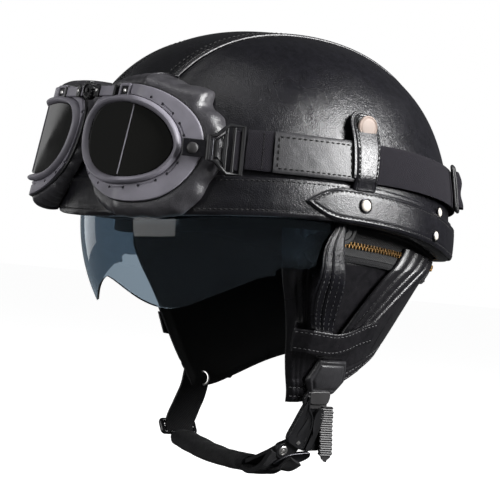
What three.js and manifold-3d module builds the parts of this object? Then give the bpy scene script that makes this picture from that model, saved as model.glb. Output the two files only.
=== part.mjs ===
// Leather-covered half helmet with split-lens goggles, drop-down visor, zip-on ear flaps and chin strap.
// Millimetres, +Z up, forehead towards -Y, wearer's left towards +X.
// Origin: centre of the head opening, level with the widest line of the shell.
import * as THREE from "three";
import { mergeVertices } from "three/addons/utils/BufferGeometryUtils.js";
import Module from "manifold-3d";

const wasm = await Module();
wasm.setup();

// ---- driving dimensions ----
const HALF_WIDTH = 120; // leather surface, side to side 240
const HALF_LENGTH = 140; // front to back 280
const CROWN = 143.5; // origin to the top of the crown
const SEAM_X = 36; // crown strip is 72 wide
const LEATHER = 1.6;
const SHELL_OUT = -3; // shell's outer face, counted from the leather surface
const SHELL_IN = -6.8;
const EPS_IN = -36;
const PAD_IN = -42;
const BAND_HEIGHT = 25; // brim band
const REAR_BAND_HEIGHT = 22;
const VISOR_Y = -5; // visor pivot
const VISOR_Z = 11;
const VISOR_REACH = 120; // pivot axis to the visor's front
const VISOR_HALF = 106.6; // half-width at the pivots
const STRAP_HALF = 13; // goggle strap half-height
const STRAP_IN = 3.2;
const STRAP_OUT = 4.6;
const TAU = 2 * Math.PI;

const rad = (d) => (d * Math.PI) / 180;
const lerp = (a, b, t) => a + (b - a) * t;
const clamp = (t) => Math.min(1, Math.max(0, t));
const smooth = (t) => clamp(t) ** 2 * (3 - 2 * clamp(t));

// Value at t of a table of [t, value] steps, joined smoothly.
function along(table, t) {
  if (t <= table[0][0]) return table[0][1];
  for (let i = 1; i < table.length; i++)
    if (t <= table[i][0]) {
      const [t0, v0] = table[i - 1],
        [t1, v1] = table[i];
      return lerp(v0, v1, (t - t0) / (t1 - t0));
    }
  return table[table.length - 1][1];
}

// ---- closed shapes ----
const root = new THREE.Group();

function sealed(geometry) {
  geometry.deleteAttribute("uv");
  geometry.deleteAttribute("normal");
  const g = mergeVertices(geometry, 1e-4);
  const p = g.attributes.position.array,
    idx = g.index.array;
  let volume = 0;
  for (let i = 0; i < idx.length; i += 3) {
    const [a, b, c] = [idx[i] * 3, idx[i + 1] * 3, idx[i + 2] * 3];
    volume +=
      p[a] * (p[b + 1] * p[c + 2] - p[b + 2] * p[c + 1]) +
      p[a + 1] * (p[b + 2] * p[c] - p[b] * p[c + 2]) +
      p[a + 2] * (p[b] * p[c + 1] - p[b + 1] * p[c]);
  }
  if (volume < 0)
    for (let i = 0; i < idx.length; i += 3)
      [idx[i], idx[i + 1]] = [idx[i + 1], idx[i]];
  return g;
}

function moved(geometry, map) {
  const p = geometry.attributes.position,
    v = new THREE.Vector3();
  for (let i = 0; i < p.count; i++) {
    const q = map(v.fromBufferAttribute(p, i));
    p.setXYZ(i, q.x, q.y, q.z);
  }
  return sealed(geometry);
}

// A sheet with thickness: u and v run over its face, w from its inner (0) to its outer face (1).
const sheet = (nu, nv, map, nw = 1) =>
  moved(new THREE.BoxGeometry(1, 1, 1, nu, nv, nw), (p) =>
    map(p.x + 0.5, p.y + 0.5, p.z + 0.5),
  );

// A closed ring: the profile is a closed loop of [a, b] points, swept once round.
const ring = (n, profile, map) =>
  moved(
    new THREE.LatheGeometry(
      [...profile, profile[0]].map(([a, b]) => new THREE.Vector2(10 + a, b)),
      n,
    ),
    (p) => map(Math.atan2(p.x, p.z), Math.hypot(p.x, p.z) - 10, p.y),
  );

// A bowl: s runs from the crown (0) to the rim (1), w from its inner (0) to its outer face (1).
function bowl(n, steps, map) {
  const side = (w) =>
    Array.from({ length: steps + 1 }, (_, k) => new THREE.Vector2(k / steps, w));
  return moved(
    new THREE.LatheGeometry([...side(1), ...side(0).reverse()], n),
    (p) => map(Math.atan2(p.x, p.z), Math.hypot(p.x, p.z), p.y),
  );
}

// Straight prism along an axis between two points, round in section.
function rod(a, b, radius, n = 16, inner = 0) {
  const axis = new THREE.Vector3().subVectors(b, a),
    length = axis.length();
  const points = [
    [inner, 0],
    [radius, 0],
    [radius, length],
    [inner, length],
  ].map(([x, y]) => new THREE.Vector2(x, y));
  if (inner > 0) points.push(points[0].clone());
  const g = new THREE.LatheGeometry(points, n);
  g.applyQuaternion(
    new THREE.Quaternion().setFromUnitVectors(
      new THREE.Vector3(0, 1, 0),
      axis.normalize(),
    ),
  );
  g.translate(a.x, a.y, a.z);
  return sealed(g);
}

const solid = (g) =>
  new wasm.Manifold(
    new wasm.Mesh({
      numProp: 3,
      vertProperties: new Float32Array(g.attributes.position.array),
      triVerts: new Uint32Array(g.index.array),
    }),
  );

function back(made) {
  const m = made.getMesh();
  return new THREE.BufferGeometry()
    .setAttribute(
      "position",
      new THREE.BufferAttribute(new Float32Array(m.vertProperties), 3),
    )
    .setIndex(new THREE.BufferAttribute(new Uint32Array(m.triVerts), 1));
}
const cut = (a, ...tools) =>
  back(tools.reduce((s, t) => s.subtract(solid(t)), solid(a)));
const join = (a, ...more) =>
  back(more.reduce((s, t) => s.add(solid(t)), solid(a)));

const LOOKS = {
  leather: [0x17161a, 0.42, 0],
  shell: [0x1b1b1d, 0.55, 0],
  foam: [0x202022, 0.95, 0],
  fabric: [0x0d0d0e, 1, 0],
  elastic: [0x1c1820, 0.9, 0],
  frame: [0x5c5a62, 0.55, 0],
  lens: [0x0b0c0d, 0.08, 0],
  smoke: [0x3a444c, 0.05, 0],
  plastic: [0x141416, 0.4, 0],
  bronze: [0xa08a70, 0.35, 0.9],
  steel: [0x9a9a9e, 0.3, 1],
  grey: [0x55565a, 0.5, 0.3],
};

function add(name, look, geometry) {
  const [color, roughness, metalness] = LOOKS[look];
  const mesh = new THREE.Mesh(
    geometry,
    new THREE.MeshStandardMaterial({ color, roughness, metalness }),
  );
  mesh.name = name;
  root.add(mesh);
}

// Both sides of the helmet: make(side) gets 1 for the left and -1 for the right.
function pair(name, look, make) {
  add(name + "_left", look, make(1));
  add(name + "_right", look, make(-1));
}

// ---- the dome ----
const brimZ = (th) => {
  const s = Math.sin(th);
  // The brim drops towards the ears and runs level round the nape.
  const u = s < 0.62 ? s : 0.62 + 0.12 * (1 - Math.exp((0.62 - s) / 0.12));
  return 14.7 - 7 * u - 16.5 * u * u - 5.8 * Math.max(u, 0) ** 3;
};
const fullness = (th) => 2.39 + 0.11 * Math.sin(th);

function domeAt(th, z, off = 0) {
  const n = fullness(th),
    t = Math.max(z, 0) / (CROWN + off),
    r = t >= 1 ? 0 : (1 - t ** n) ** (1 / n);
  return new THREE.Vector3(
    (HALF_WIDTH + off) * r * Math.cos(th),
    (HALF_LENGTH + off) * r * Math.sin(th),
    z,
  );
}

// Dome point for a share s of the way from the crown to a height above the brim.
function domeShare(th, s, off, above = 0) {
  const low = brimZ(th) + above;
  return domeAt(
    th,
    low +
      (CROWN + off - low) *
        Math.max(Math.cos((s * Math.PI) / 2), 0) ** (2 / fullness(th)),
    off,
  );
}
const onDisk = (x, y, off, above) =>
  domeShare(Math.atan2(y, x), Math.min(1, Math.hypot(x, y)), off, above);

add(
  "outer_shell",
  "shell",
  bowl(36, 8, (th, s, w) =>
    domeShare(th, s, lerp(SHELL_IN, SHELL_OUT, w), 1.5),
  ),
);

// Seam as disk coordinates: the place at disk height y where the dome is cut by the plane x = at.
function seamPoint(y, at) {
  let lo = 0,
    hi = Math.sqrt(1 - y * y);
  for (let i = 0; i < 40; i++) {
    const mid = (lo + hi) / 2;
    if (onDisk(mid, y, 0).x < at) lo = mid;
    else hi = mid;
  }
  return [(lo + hi) / 2, y];
}
const seamReach = (at) => Math.sqrt(1 - (at / HALF_WIDTH) ** 2) * 0.999;

// Coons patch of four disk curves: bottom and top run with u, left and right with v.
function coons(bottom, top, left, right) {
  return (u, v) => {
    const [b, t, l, r] = [bottom(u), top(u), left(v), right(v)];
    const corners = [bottom(0), bottom(1), top(0), top(1)];
    return [0, 1].map(
      (k) =>
        lerp(b[k], t[k], v) +
        lerp(l[k], r[k], u) -
        lerp(
          lerp(corners[0][k], corners[1][k], u),
          lerp(corners[2][k], corners[3][k], u),
          v,
        ),
    );
  };
}
const rim = (a0, a1) => (t) => [
  Math.cos(lerp(a0, a1, t)),
  Math.sin(lerp(a0, a1, t)),
];

const cover = (patch, nu, nv, side = 1) =>
  sheet(nu, nv, (u, v, w) => {
    const [x, y] = patch(u, v);
    const p = onDisk(x, y, lerp(-LEATHER, 0, w));
    p.x *= side;
    return p;
  });

pair("leather_side", "leather", (side) => {
  const at = SEAM_X + 0.25,
    reach = seamReach(at),
    corner = Math.asin(reach),
    shoulder = rad(48);
  return cover(
    coons(
      rim(-shoulder, shoulder),
      (u) => seamPoint(lerp(-reach, reach, u), at),
      (v) => rim(-shoulder, -corner)(v),
      (v) => rim(shoulder, corner)(v),
    ),
    18,
    7,
    side,
  );
});

{
  const at = SEAM_X - 0.25,
    reach = seamReach(at),
    corner = Math.asin(reach);
  const seam = (side) => (u) => {
    const [x, y] = seamPoint(lerp(-reach, reach, u), at);
    return [side * x, y];
  };
  add(
    "leather_crown_strip",
    "leather",
    cover(
      coons(
        seam(-1),
        seam(1),
        rim(-Math.PI + corner, -corner),
        rim(Math.PI - corner, corner),
      ),
      20,
      4,
    ),
  );
}

const band = (from, to, n, low, high, inner, outer) =>
  sheet(n, 2, (u, v, w) => {
    const th = lerp(from, to, u);
    return domeAt(th, lerp(low(th, u), high(th, u), v), lerp(inner, outer, w));
  });

add(
  "brim_band",
  "leather",
  ring(
    48,
    [
      [0, 0],
      [1, 0],
      [1, 0.5],
      [1, 1],
      [0, 1],
      [0, 0.5],
    ],
    (th, a, b) =>
      domeAt(th, brimZ(th) + lerp(-0.6, BAND_HEIGHT, b), lerp(0.8, 2, a)),
  ),
);

// Pointed at both ends, which lie just in front of the ears.
const pointed = (u) => clamp(0.32 + 0.68 * Math.min(u, 1 - u) * 22);
add(
  "rear_band",
  "leather",
  band(
    rad(-18.3),
    rad(198.3),
    44,
    (th, u) => brimZ(th) + REAR_BAND_HEIGHT * 0.5 * (1 - pointed(u)),
    (th, u) => brimZ(th) + REAR_BAND_HEIGHT * 0.5 * (1 + pointed(u)),
    2.6,
    4,
  ),
);

// ---- inside the shell ----
// The front half of the foam stands back from the shell: the raised visor lives in that gap.
const foamOff = (y) => lerp(-22.5, -9, smooth((y - 6) / 36));
add(
  "eps_liner",
  "foam",
  bowl(32, 7, (th, s, w) => {
    if (w < 0.5) return domeShare(th, s, EPS_IN, -1);
    const y = domeShare(th, s, -10, -1).y;
    return domeShare(th, s, foamOff(y), -1);
  }),
);
add(
  "comfort_liner",
  "fabric",
  bowl(32, 7, (th, s, w) =>
    domeShare(th, s, lerp(PAD_IN, EPS_IN - 0.5, w), -9),
  ),
);
// Flat pad that rests on the head, or on a stand's knob.
add(
  "crown_pad",
  "fabric",
  rod(
    new THREE.Vector3(0, 0, 90),
    new THREE.Vector3(0, 0, CROWN + PAD_IN - 4.5),
    26,
    24,
  ),
);

// ---- visor ----
const visorRadius = (x) =>
  VISOR_REACH *
  Math.max(1 - Math.min(Math.abs(x) / (VISOR_HALF + 0.6), 1) ** 2.05, 0) ** 0.5;
// Angle below the pivot's level of the lower edge: a nose notch, two lobes and rounded side wings.
const visorLow = (x) =>
  along(
    [
      [0, 21.5],
      [6, 22.5],
      [17, 26],
      [33, 32],
      [49, 35.5],
      [80, 34],
      [98, 35],
      [101, 44],
      [103.5, 54],
      [106, 56],
    ],
    Math.abs(x),
  );
function visorPoint(x, down, off) {
  const r = visorRadius(x) + off * Math.sqrt(visorRadius(x) / VISOR_REACH);
  const side = Math.sign(x) * off * (Math.abs(x) / VISOR_HALF) ** 6;
  return new THREE.Vector3(
    x + side,
    VISOR_Y - r * Math.cos(rad(down)),
    VISOR_Z - r * Math.sin(rad(down)),
  );
}
{
  const sweep = (u) => {
    const t = 2 * u - 1;
    return Math.sign(t) * VISOR_HALF * Math.sin((Math.abs(t) * Math.PI) / 2);
  };
  const screen = sheet(36, 4, (u, v, w) => {
    const x = sweep(u);
    return visorPoint(x, lerp(-14, visorLow(x), v), lerp(-1, 1, w));
  });
  const boss = (side) =>
    rod(
      new THREE.Vector3(side * (VISOR_HALF - 2.2), VISOR_Y, VISOR_Z),
      new THREE.Vector3(side * (VISOR_HALF + 0.3), VISOR_Y, VISOR_Z),
      14,
      24,
    );
  const hole = (side) =>
    rod(
      new THREE.Vector3(side * (VISOR_HALF - 8), VISOR_Y, VISOR_Z),
      new THREE.Vector3(side * (VISOR_HALF + 8), VISOR_Y, VISOR_Z),
      3.3,
      20,
    );
  add(
    "visor",
    "smoke",
    cut(join(screen, boss(1), boss(-1)), hole(1), hole(-1)),
  );
}
pair("visor_pivot", "steel", (side) =>
  rod(
    new THREE.Vector3(side * 98.2, VISOR_Y, VISOR_Z),
    new THREE.Vector3(side * 107.9, VISOR_Y, VISOR_Z),
    3,
    20,
  ),
);

// ---- ear flaps and neck guard ----
const flapA = (z) => 101 - 0.42 * Math.max(0, -z - 12);
const flapB = (z) => 133 - 0.56 * Math.max(0, -z - 8);
const onFlap = (ph, z, off, side = 1) =>
  new THREE.Vector3(
    side * (flapA(z) + off) * Math.cos(ph),
    (flapB(z) + off) * Math.sin(ph),
    z,
  );
const flapY = (y, z, off, side) =>
  onFlap(Math.asin(y / (flapB(z) + off)), z, off, side);
const flapLow = (deg) =>
  along(
    [
      [0, -107],
      [11, -106],
      [30, -93],
      [39, -85],
      [51, -78],
      [64, -70],
      [90, -64],
    ],
    deg,
  );
const FLAP_REAR = 40;
pair("ear_flap", "leather", (side) =>
  sheet(
    12,
    10,
    (u, v, w) => {
      const front = along(
        [
          [0, -20],
          [0.25, -19],
          [0.5, -14],
          [0.8, -9],
          [1, -2],
        ],
        v,
      );
      const deg = lerp(front, FLAP_REAR, u);
      const low = flapLow(lerp(-2, FLAP_REAR, u));
      const z = lerp(brimZ(rad(deg)) - 7, low, v);
      return onFlap(rad(deg), z, lerp(-7, 0, w), side);
    },
  ),
);
add(
  "neck_guard",
  "leather",
  sheet(22, 6, (u, v, w) => {
    const deg = lerp(FLAP_REAR + 0.3, 180 - FLAP_REAR - 0.3, u);
    const z = lerp(
      brimZ(rad(deg)) - 7,
      flapLow(deg > 90 ? 180 - deg : deg),
      v,
    );
    return onFlap(rad(deg), z, lerp(-7, 0, w));
  }),
);
pair("zipper", "bronze", (side) =>
  sheet(24, 3, (u, v, w) => {
    const deg = lerp(-1, 89.4, u);
    return onFlap(
      rad(deg),
      brimZ(rad(deg)) - lerp(8.4, 20, v) + 6.6 * smooth(deg / 62),
      lerp(1.2, 2.4, w),
      side,
    );
  }),
);

// ---- chin strap legs on the flaps ----
// Front and rear edge of the front leg by height: it widens below its pointed top and narrows to the plate.
const legFrontEdge = (z) =>
  along(
    [
      [-66, -5],
      [-60, -8.2],
      [-34, -22],
      [0, -21.8],
      [6, -17],
      [15.5, -11],
    ],
    z,
  );
const legRearEdge = (z) =>
  along(
    [
      [-66, 9],
      [-60, 7.7],
      [-34, 2.1],
      [-18, -3],
      [0, -6.7],
    ],
    z,
  );
pair("strap_leg_front", "leather", (side) =>
  sheet(2, 12, (u, v, w) => {
    const z = lerp(15.5, -66, v);
    const x = along(
      [
        [-66, 84],
        [-50, 90],
        [-34, 101],
        [-22, 108.3],
        [0, 108.7],
        [15.5, 108.7],
      ],
      z,
    );
    return new THREE.Vector3(
      side * (x + lerp(0, 2.4, w)),
      lerp(legFrontEdge(z), legRearEdge(z), u),
      z,
    );
  }),
);
// The rear leg runs down and forward from under the rim, between a front and a rear edge on the flap.
function onRearLeg(v, share, off, side) {
  const front = along([[0, 24.5], [0.33, 17.6], [0.66, 13.4], [1, 9.2]], v),
    rear = lerp(46.5, 21.5, v);
  const deg = lerp(front, rear, share);
  const z = Math.min(lerp(lerp(3, -4.5, share), -58, v), brimZ(rad(deg)) - 3.4);
  return onFlap(rad(deg), z, off, side);
}
pair("strap_leg_rear", "leather", (side) =>
  sheet(4, 10, (u, v, w) => onRearLeg(v, u, lerp(2.9, 5.7, w), side)),
);
pair("strap_keeper", "leather", (side) =>
  sheet(14, 1, (u, v, w) => {
    const y = lerp(-22, 46, u);
    const z =
      along(
        [
          [-23, -64],
          [12, -66],
          [46, -55],
        ],
        y,
      ) + lerp(-7.5, 7.5, v);
    // It stands off the flap where it crosses the legs and comes down to it at its ends.
    const lift =
      9.2 - 6.2 * (1 - smooth((y + 22) / 11)) - 2.6 * smooth((y - 14) / 22);
    return flapY(y, z, lift + lerp(0, 1.8, w), side);
  }),
);
// Five-sided leather-covered plate that carries the buckle.
pair("strap_plate", "leather", (side) =>
  sheet(4, 4, (u, v, w) => {
    const half = along(
      [
        [0, 11],
        [0.2, 13],
        [0.62, 17.5],
        [1, 12.5],
      ],
      v,
    );
    const z = lerp(-75.5, -97, v);
    return flapY(19 + lerp(-half, half, u), z, lerp(1.2, 5.4, w), side);
  }),
);

// ---- chin strap ----
const V = (x, y, z) => new THREE.Vector3(x, y, z);
// A strip along a path of points, with its width along Y.
const webbing = (path, half, thick, n) => {
  const curve = new THREE.CatmullRomCurve3(path, false, "centripetal");
  return sheet(2, n, (u, v, w) => {
    const p = curve.getPoint(v),
      t = curve.getTangent(v);
    const across = new THREE.Vector3(0, 1, 0);
    const out = new THREE.Vector3().crossVectors(across, t).normalize();
    return p
      .addScaledVector(across, lerp(-half, half, u))
      .addScaledVector(out, lerp(-thick / 2, thick / 2, w));
  });
};
add(
  "ratchet_tongue",
  "grey",
  webbing([V(66.5, 23, -98.6), V(66, 24, -118), V(63, 25, -137)], 4.8, 2.4, 8),
);
add(
  "buckle_body",
  "plastic",
  sheet(2, 6, (u, v, w) =>
    V(
      lerp(63.5, 51, v) + lerp(-2, 3, w),
      lerp(7, 0, v) + lerp(-8.5, 8.5, u),
      lerp(-108.5, -145, v),
    ),
  ),
);
add(
  "buckle_lever",
  "plastic",
  sheet(2, 8, (u, v, w) =>
    V(
      lerp(68.5, 56, v) + lerp(0.6, 3.4, w) + 2.5 * Math.sin(Math.PI * v),
      lerp(8, 1, v) + lerp(-4.5, 4.5, u),
      lerp(-99.5, -141, v),
    ),
  ),
);
add(
  "chin_webbing_left",
  "elastic",
  webbing(
    [V(31, -6, -158), V(42, -4, -158.5), V(50, -2, -152), V(51, -1, -146.6)],
    9,
    3.2,
    12,
  ),
);
{
  const a = V(-52, -9, -142),
    b = V(29.5, -6, -158);
  const axis = new THREE.Vector3().subVectors(b, a),
    length = axis.length();
  const out = new THREE.Vector3(axis.z, 0, -axis.x).normalize();
  add(
    "chin_pad",
    "fabric",
    moved(new THREE.CylinderGeometry(1, 1, length, 20, 8), (p) => {
      const t = clamp(p.y / length + 0.5);
      const sag = -5 * Math.sin(Math.PI * t);
      const q = a.clone().addScaledVector(axis, t);
      q.y += p.x * 12;
      return q.addScaledVector(out, p.z * 6.5).add(V(0, 0, sag));
    }),
  );
}
add(
  "chin_webbing_right",
  "elastic",
  webbing([V(-63, 4, -111), V(-64, -3, -124), V(-60, -8, -136)], 11, 2.2, 8),
);
add(
  "chin_slider",
  "plastic",
  sheet(3, 3, (u, v, w) =>
    V(
      lerp(-61, -55.5, v) - lerp(0, 3, w),
      -9 + lerp(-14, 14, u),
      lerp(-137.4, -143.6, v) - lerp(0, 1.4, w),
    ),
  ),
);

// ---- snaps on the rear band ----
const boss = (th, z, off, radius, height, side) => {
  const p = domeAt(th, z, off),
    q = domeAt(th, z, off + height);
  const a = V(side * p.x, p.y, p.z);
  return rod(a, V(side * q.x, q.y, q.z + height * 0.05), radius, 16);
};
pair("band_snap", "steel", (side) => boss(rad(-1), 27, 4.2, 4.5, 1.8, side));

// ---- goggle strap, wrapped round the shell ----
const strapZ = (th) => 55 - 14 * Math.sin(Math.max(th, 0)) ** 2;
const strapPart = (from, to, n, inner, outer, half, side = 1) =>
  sheet(n, 1, (u, v, w) => {
    const th = lerp(from, to, u);
    const z = strapZ(Math.min(th, Math.PI - th)) + lerp(-half, half, v);
    const p = domeAt(th, z, lerp(inner, outer, w));
    p.x *= side;
    return p;
  });
pair("goggle_elastic_front", "elastic", (side) =>
  strapPart(rad(-36), rad(-28.6), 3, STRAP_IN, STRAP_OUT, STRAP_HALF, side),
);
pair("goggle_patch", "leather", (side) =>
  strapPart(rad(-28.3), rad(-4.7), 7, STRAP_IN, 5.4, STRAP_HALF + 0.4, side),
);
add(
  "goggle_elastic_rear",
  "elastic",
  strapPart(rad(-4.4), rad(184.4), 40, STRAP_IN, STRAP_OUT, STRAP_HALF),
);
{
  const span = (inner, outer, half, from, to) =>
    strapPart(rad(from), rad(to), 4, inner, outer, half);
  add(
    "goggle_slider",
    "plastic",
    cut(span(2.2, 7, 16, 43, 49), span(2.8, 5, 13.5, 40, 52)),
  );
}

// ---- strap loops with their snaps ----
pair("strap_loop", "leather", (side) =>
  sheet(4, 12, (u, v, w) => {
    const z = along(
      [
        [0, 38.7],
        [1 / 12, 40],
        [2 / 12, 41.6],
        [1, 87],
      ],
      v,
    );
    const off = along(
      [
        [38.7, 2.5],
        [40, 2.9],
        [41.6, 6.2],
        [68, 6.2],
        [76, 3.4],
        [87, 2.4],
      ],
      z,
    );
    const half =
      lerp(8.9, 10.6, smooth((z - 42) / 36)) *
      Math.sqrt(1 - clamp((z - 78.5) / 9.4) ** 2);
    const y = -3.5 + 3 * smooth((z - 40) / 40) + lerp(-half, half, u);
    const th = Math.asin(y / (HALF_LENGTH + 4));
    const p = domeAt(th, z, off + lerp(0, 2.2, w));
    p.x *= side;
    return p;
  }),
);
pair("loop_snap", "bronze", (side) => {
  const p = domeAt(0, 78, 6.9);
  return rod(
    V(side * p.x, 0, 78),
    V(side * (p.x + 2.4), 0, 78 + 1),
    7,
    20,
  );
});

// ---- goggles ----
// Each eyepiece is bent along an upright ridge: its nose half faces forward, its outer half sideways.
const RIDGE = V(54.6, -145.5, 53.5);
const NOSE_TURN = rad(3),
  OUTER_TURN = rad(45),
  LEAN = 0.172;
function eye(p, q, depth, side) {
  const turn = p < 0 ? NOSE_TURN : OUTER_TURN;
  const t = p < -1 ? NOSE_TURN : p > 1 ? OUTER_TURN : (NOSE_TURN + OUTER_TURN) / 2;
  return V(
    side * (RIDGE.x + p * Math.cos(turn) + depth * Math.sin(t)),
    RIDGE.y + p * Math.sin(turn) - depth * Math.cos(t) + LEAN * q,
    RIDGE.z + q * 0.985,
  );
}
// Outlines in eyepiece coordinates (across, up), counted from the ridge's middle.
const closedCurve = (points, grow = 0) => {
  const curve = new THREE.CatmullRomCurve3(
    points.map(([p, q]) => V(p, q, 0)),
    true,
    "centripetal",
  );
  const centre = [-6, 0];
  const many = curve.getPoints(360).map((m) => [
    Math.atan2(m.y - centre[1], m.x - centre[0]),
    Math.hypot(m.x - centre[0], m.y - centre[1]),
  ]);
  return (angle) => {
    let best = 0,
      gap = 9;
    for (const [a, r] of many) {
      const d = Math.abs(((a - angle + 3 * Math.PI) % TAU) - Math.PI);
      if (d < gap) [gap, best] = [d, r];
    }
    const r = best + grow;
    return [centre[0] + r * Math.cos(angle), centre[1] + r * Math.sin(angle)];
  };
};
const LENS = [
  [31, -3],
  [25, 10],
  [13, 19.5],
  [-2, 24.5],
  [-20, 25.5],
  [-36, 22],
  [-43, 13],
  [-42, 0],
  [-36, -11],
  [-22, -20.5],
  [6, -23.5],
  [24, -16.5],
];
const FRAME = [
  [50, -3],
  [45, 13],
  [33, 25],
  [16, 33.5],
  [0, 37],
  [-20, 37.5],
  [-37, 34],
  [-48, 22],
  [-49, 6],
  [-43, -13],
  [-31, -26],
  [-13, -35.5],
  [9, -39.5],
  [29, -35],
  [43, -22],
];
const lensEdge = closedCurve(LENS, -0.9),
  bezelIn = closedCurve(LENS),
  bezelOut = closedCurve(LENS, 5),
  frameIn = closedCurve(LENS, 5.4),
  frameOut = closedCurve(FRAME),
  frameBack = closedCurve(FRAME, -3);
const SQUARE = [
  [0, 0],
  [1, 0],
  [1, 1],
  [0, 1],
];
const annulus = (n, inner, outer, low, high, side) =>
  ring(n, SQUARE, (th, a, b) => {
    const i = inner(th),
      o = outer(th);
    return eye(
      lerp(i[0], o[0], a),
      lerp(i[1], o[1], a),
      lerp(low, high, b),
      side,
    );
  });
pair("goggle_frame", "frame", (side) =>
  annulus(40, frameIn, frameOut, -3, 0, side),
);
pair("goggle_bezel", "frame", (side) =>
  annulus(40, bezelIn, bezelOut, -3, 4, side),
);
// Lens halves, each flat, meeting at the ridge.
function lensHalf(inner, side) {
  const edge = Array.from({ length: 181 }, (_, k) => lensEdge((k / 180) * TAU));
  const reach = inner
    ? Math.min(...edge.map((e) => e[0])) + 1.2
    : Math.max(...edge.map((e) => e[0])) - 1;
  const limit = (p, top) => {
    const near = edge
      .filter((e) => (top ? e[1] > 0 : e[1] <= 0))
      .sort((a, b) => Math.abs(a[0] - p) - Math.abs(b[0] - p));
    return near[0][1];
  };
  const ridge = inner ? -1.3 : 1.3;
  return sheet(10, 1, (u, v, w) => {
    const p = lerp(ridge, reach, u ** 0.8);
    return eye(p, lerp(limit(p, false), limit(p, true), v), lerp(-0.8, 1.2, w), side);
  });
}
pair("goggle_lens_nose", "lens", (side) => lensHalf(true, side));
pair("goggle_lens_outer", "lens", (side) => lensHalf(false, side));

// Soft skirt from the back of the frame down to the leather.
const skirtOut = closedCurve([
  [66, -2],
  [60, 16],
  [46, 33],
  [22, 42],
  [0, 43],
  [-24, 42],
  [-46, 38],
  [-53, 22],
  [-53, 4],
  [-50, -16],
  [-36, -34],
  [-14, -44],
  [10, -47],
  [34, -44],
  [56, -28],
]);
pair("goggle_face_pad", "leather", (side) =>
  ring(
    36,
    [
      [0, 0],
      [0.5, 0],
      [1, 0],
      [1, 1],
      [0.5, 1],
      [0, 1],
    ],
    (th, a, b) => {
      const f = frameBack(th),
        s = skirtOut(th);
      const top = eye(f[0] - (1 - b) * 2 * Math.cos(th), f[1] - (1 - b) * 2 * Math.sin(th), -3.4, 1);
      const h = eye(s[0], s[1], -6, 1);
      const foot = domeAt(
        Math.atan2(h.y / HALF_LENGTH, h.x / HALF_WIDTH),
        Math.max(h.z, brimZ(rad(-70)) + 1),
        lerp(2.4, 4.8, b),
      );
      const mid = top.clone().lerp(foot, 0.55).add(V(0.25 * Math.cos(th), 0, 2 * Math.sin(th)));
      const p = a < 0.25 ? top : a < 0.75 ? mid : foot;
      p.x = Math.max(p.x, 0.5 + (1 - b) * 0.2) * side;
      return p;
    },
  ),
);

// Adjustable nose bridge with its screw.
add(
  "goggle_bridge",
  "plastic",
  sheet(6, 1, (u, v, w) =>
    V(lerp(-12.4, 12.4, u), lerp(-138, -140.6, w), lerp(83.2, 89.5, v)),
  ),
);
add("bridge_knob", "plastic", rod(V(0, -141.1, 86.3), V(0, -146.2, 86.3), 6.2, 24));

// Side tabs and strap clips.
const clipPoint = (s, z, out, side) => {
  const a = V(83.4, -121.6, 0),
    m = V(93.6, -109, 0),
    b = V(99.4, -86.5, 0);
  const from = s < 1 ? a : m,
    to = s < 1 ? m : b,
    t = s < 1 ? s : s - 1;
  const p = from.clone().lerp(to, t);
  const d = to.clone().sub(from).normalize();
  return V(side * (p.x - d.y * -out), p.y - d.x * out, z);
};
pair("goggle_tab", "leather", (side) =>
  sheet(3, 1, (u, v, w) =>
    clipPoint(lerp(0, 0.96, u), 53 + lerp(-5.8, 5.8, v), lerp(0, 1.8, w), side),
  ),
);
pair("goggle_clip", "plastic", (side) => {
  const plate = (s0, s1, h0, h1, low, high) =>
    sheet(3, 1, (u, v, w) => {
      const s = 1.03 + 0.94 * lerp(s0, s1, u);
      return clipPoint(s, 53 + lerp(-1, 1, v) * lerp(h0, h1, u), lerp(low, high, w), side);
    });
  return cut(
    plate(0, 1, 8, 15.5, -0.4, 2.6),
    plate(0.1, 0.22, 5, 5.5, -4, 6),
    plate(0.72, 0.84, 11.5, 12.5, -4, 6),
  );
});

export default root;
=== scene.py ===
import math
import random

import bpy
from mathutils import Matrix, Vector, noise


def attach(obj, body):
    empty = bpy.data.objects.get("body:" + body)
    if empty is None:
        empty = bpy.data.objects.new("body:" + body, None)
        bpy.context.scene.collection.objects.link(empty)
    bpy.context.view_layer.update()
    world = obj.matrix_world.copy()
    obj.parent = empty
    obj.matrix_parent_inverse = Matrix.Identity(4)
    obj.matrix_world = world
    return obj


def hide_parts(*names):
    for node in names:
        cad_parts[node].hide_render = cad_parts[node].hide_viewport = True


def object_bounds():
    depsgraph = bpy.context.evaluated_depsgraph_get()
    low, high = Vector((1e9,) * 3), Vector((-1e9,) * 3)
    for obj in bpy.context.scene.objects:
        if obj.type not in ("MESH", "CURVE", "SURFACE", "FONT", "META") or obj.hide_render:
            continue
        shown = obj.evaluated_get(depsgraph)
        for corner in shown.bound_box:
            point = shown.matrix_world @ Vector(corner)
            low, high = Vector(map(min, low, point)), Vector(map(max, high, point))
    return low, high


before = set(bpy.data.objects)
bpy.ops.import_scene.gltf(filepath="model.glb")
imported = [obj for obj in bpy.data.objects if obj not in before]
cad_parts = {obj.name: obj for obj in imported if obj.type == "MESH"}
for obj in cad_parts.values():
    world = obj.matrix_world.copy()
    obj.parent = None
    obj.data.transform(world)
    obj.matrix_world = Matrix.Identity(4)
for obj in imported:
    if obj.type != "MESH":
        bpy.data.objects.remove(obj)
CAD_BOX = [list(v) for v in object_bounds()]
random.seed(7)

# ---------------------------------------------------------------- the helmet's shape, in millimetres
HALF_WIDTH, HALF_LENGTH, CROWN = 120.0, 140.0, 143.5
SEAM_X = 36.0
REAR_BAND_HEIGHT = 22.0
VISOR_Y, VISOR_Z, VISOR_REACH, VISOR_HALF = -5.0, 11.0, 120.0, 106.6
STRAP_HALF = 13.0
TAU = 2 * math.pi
rad = math.radians


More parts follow.
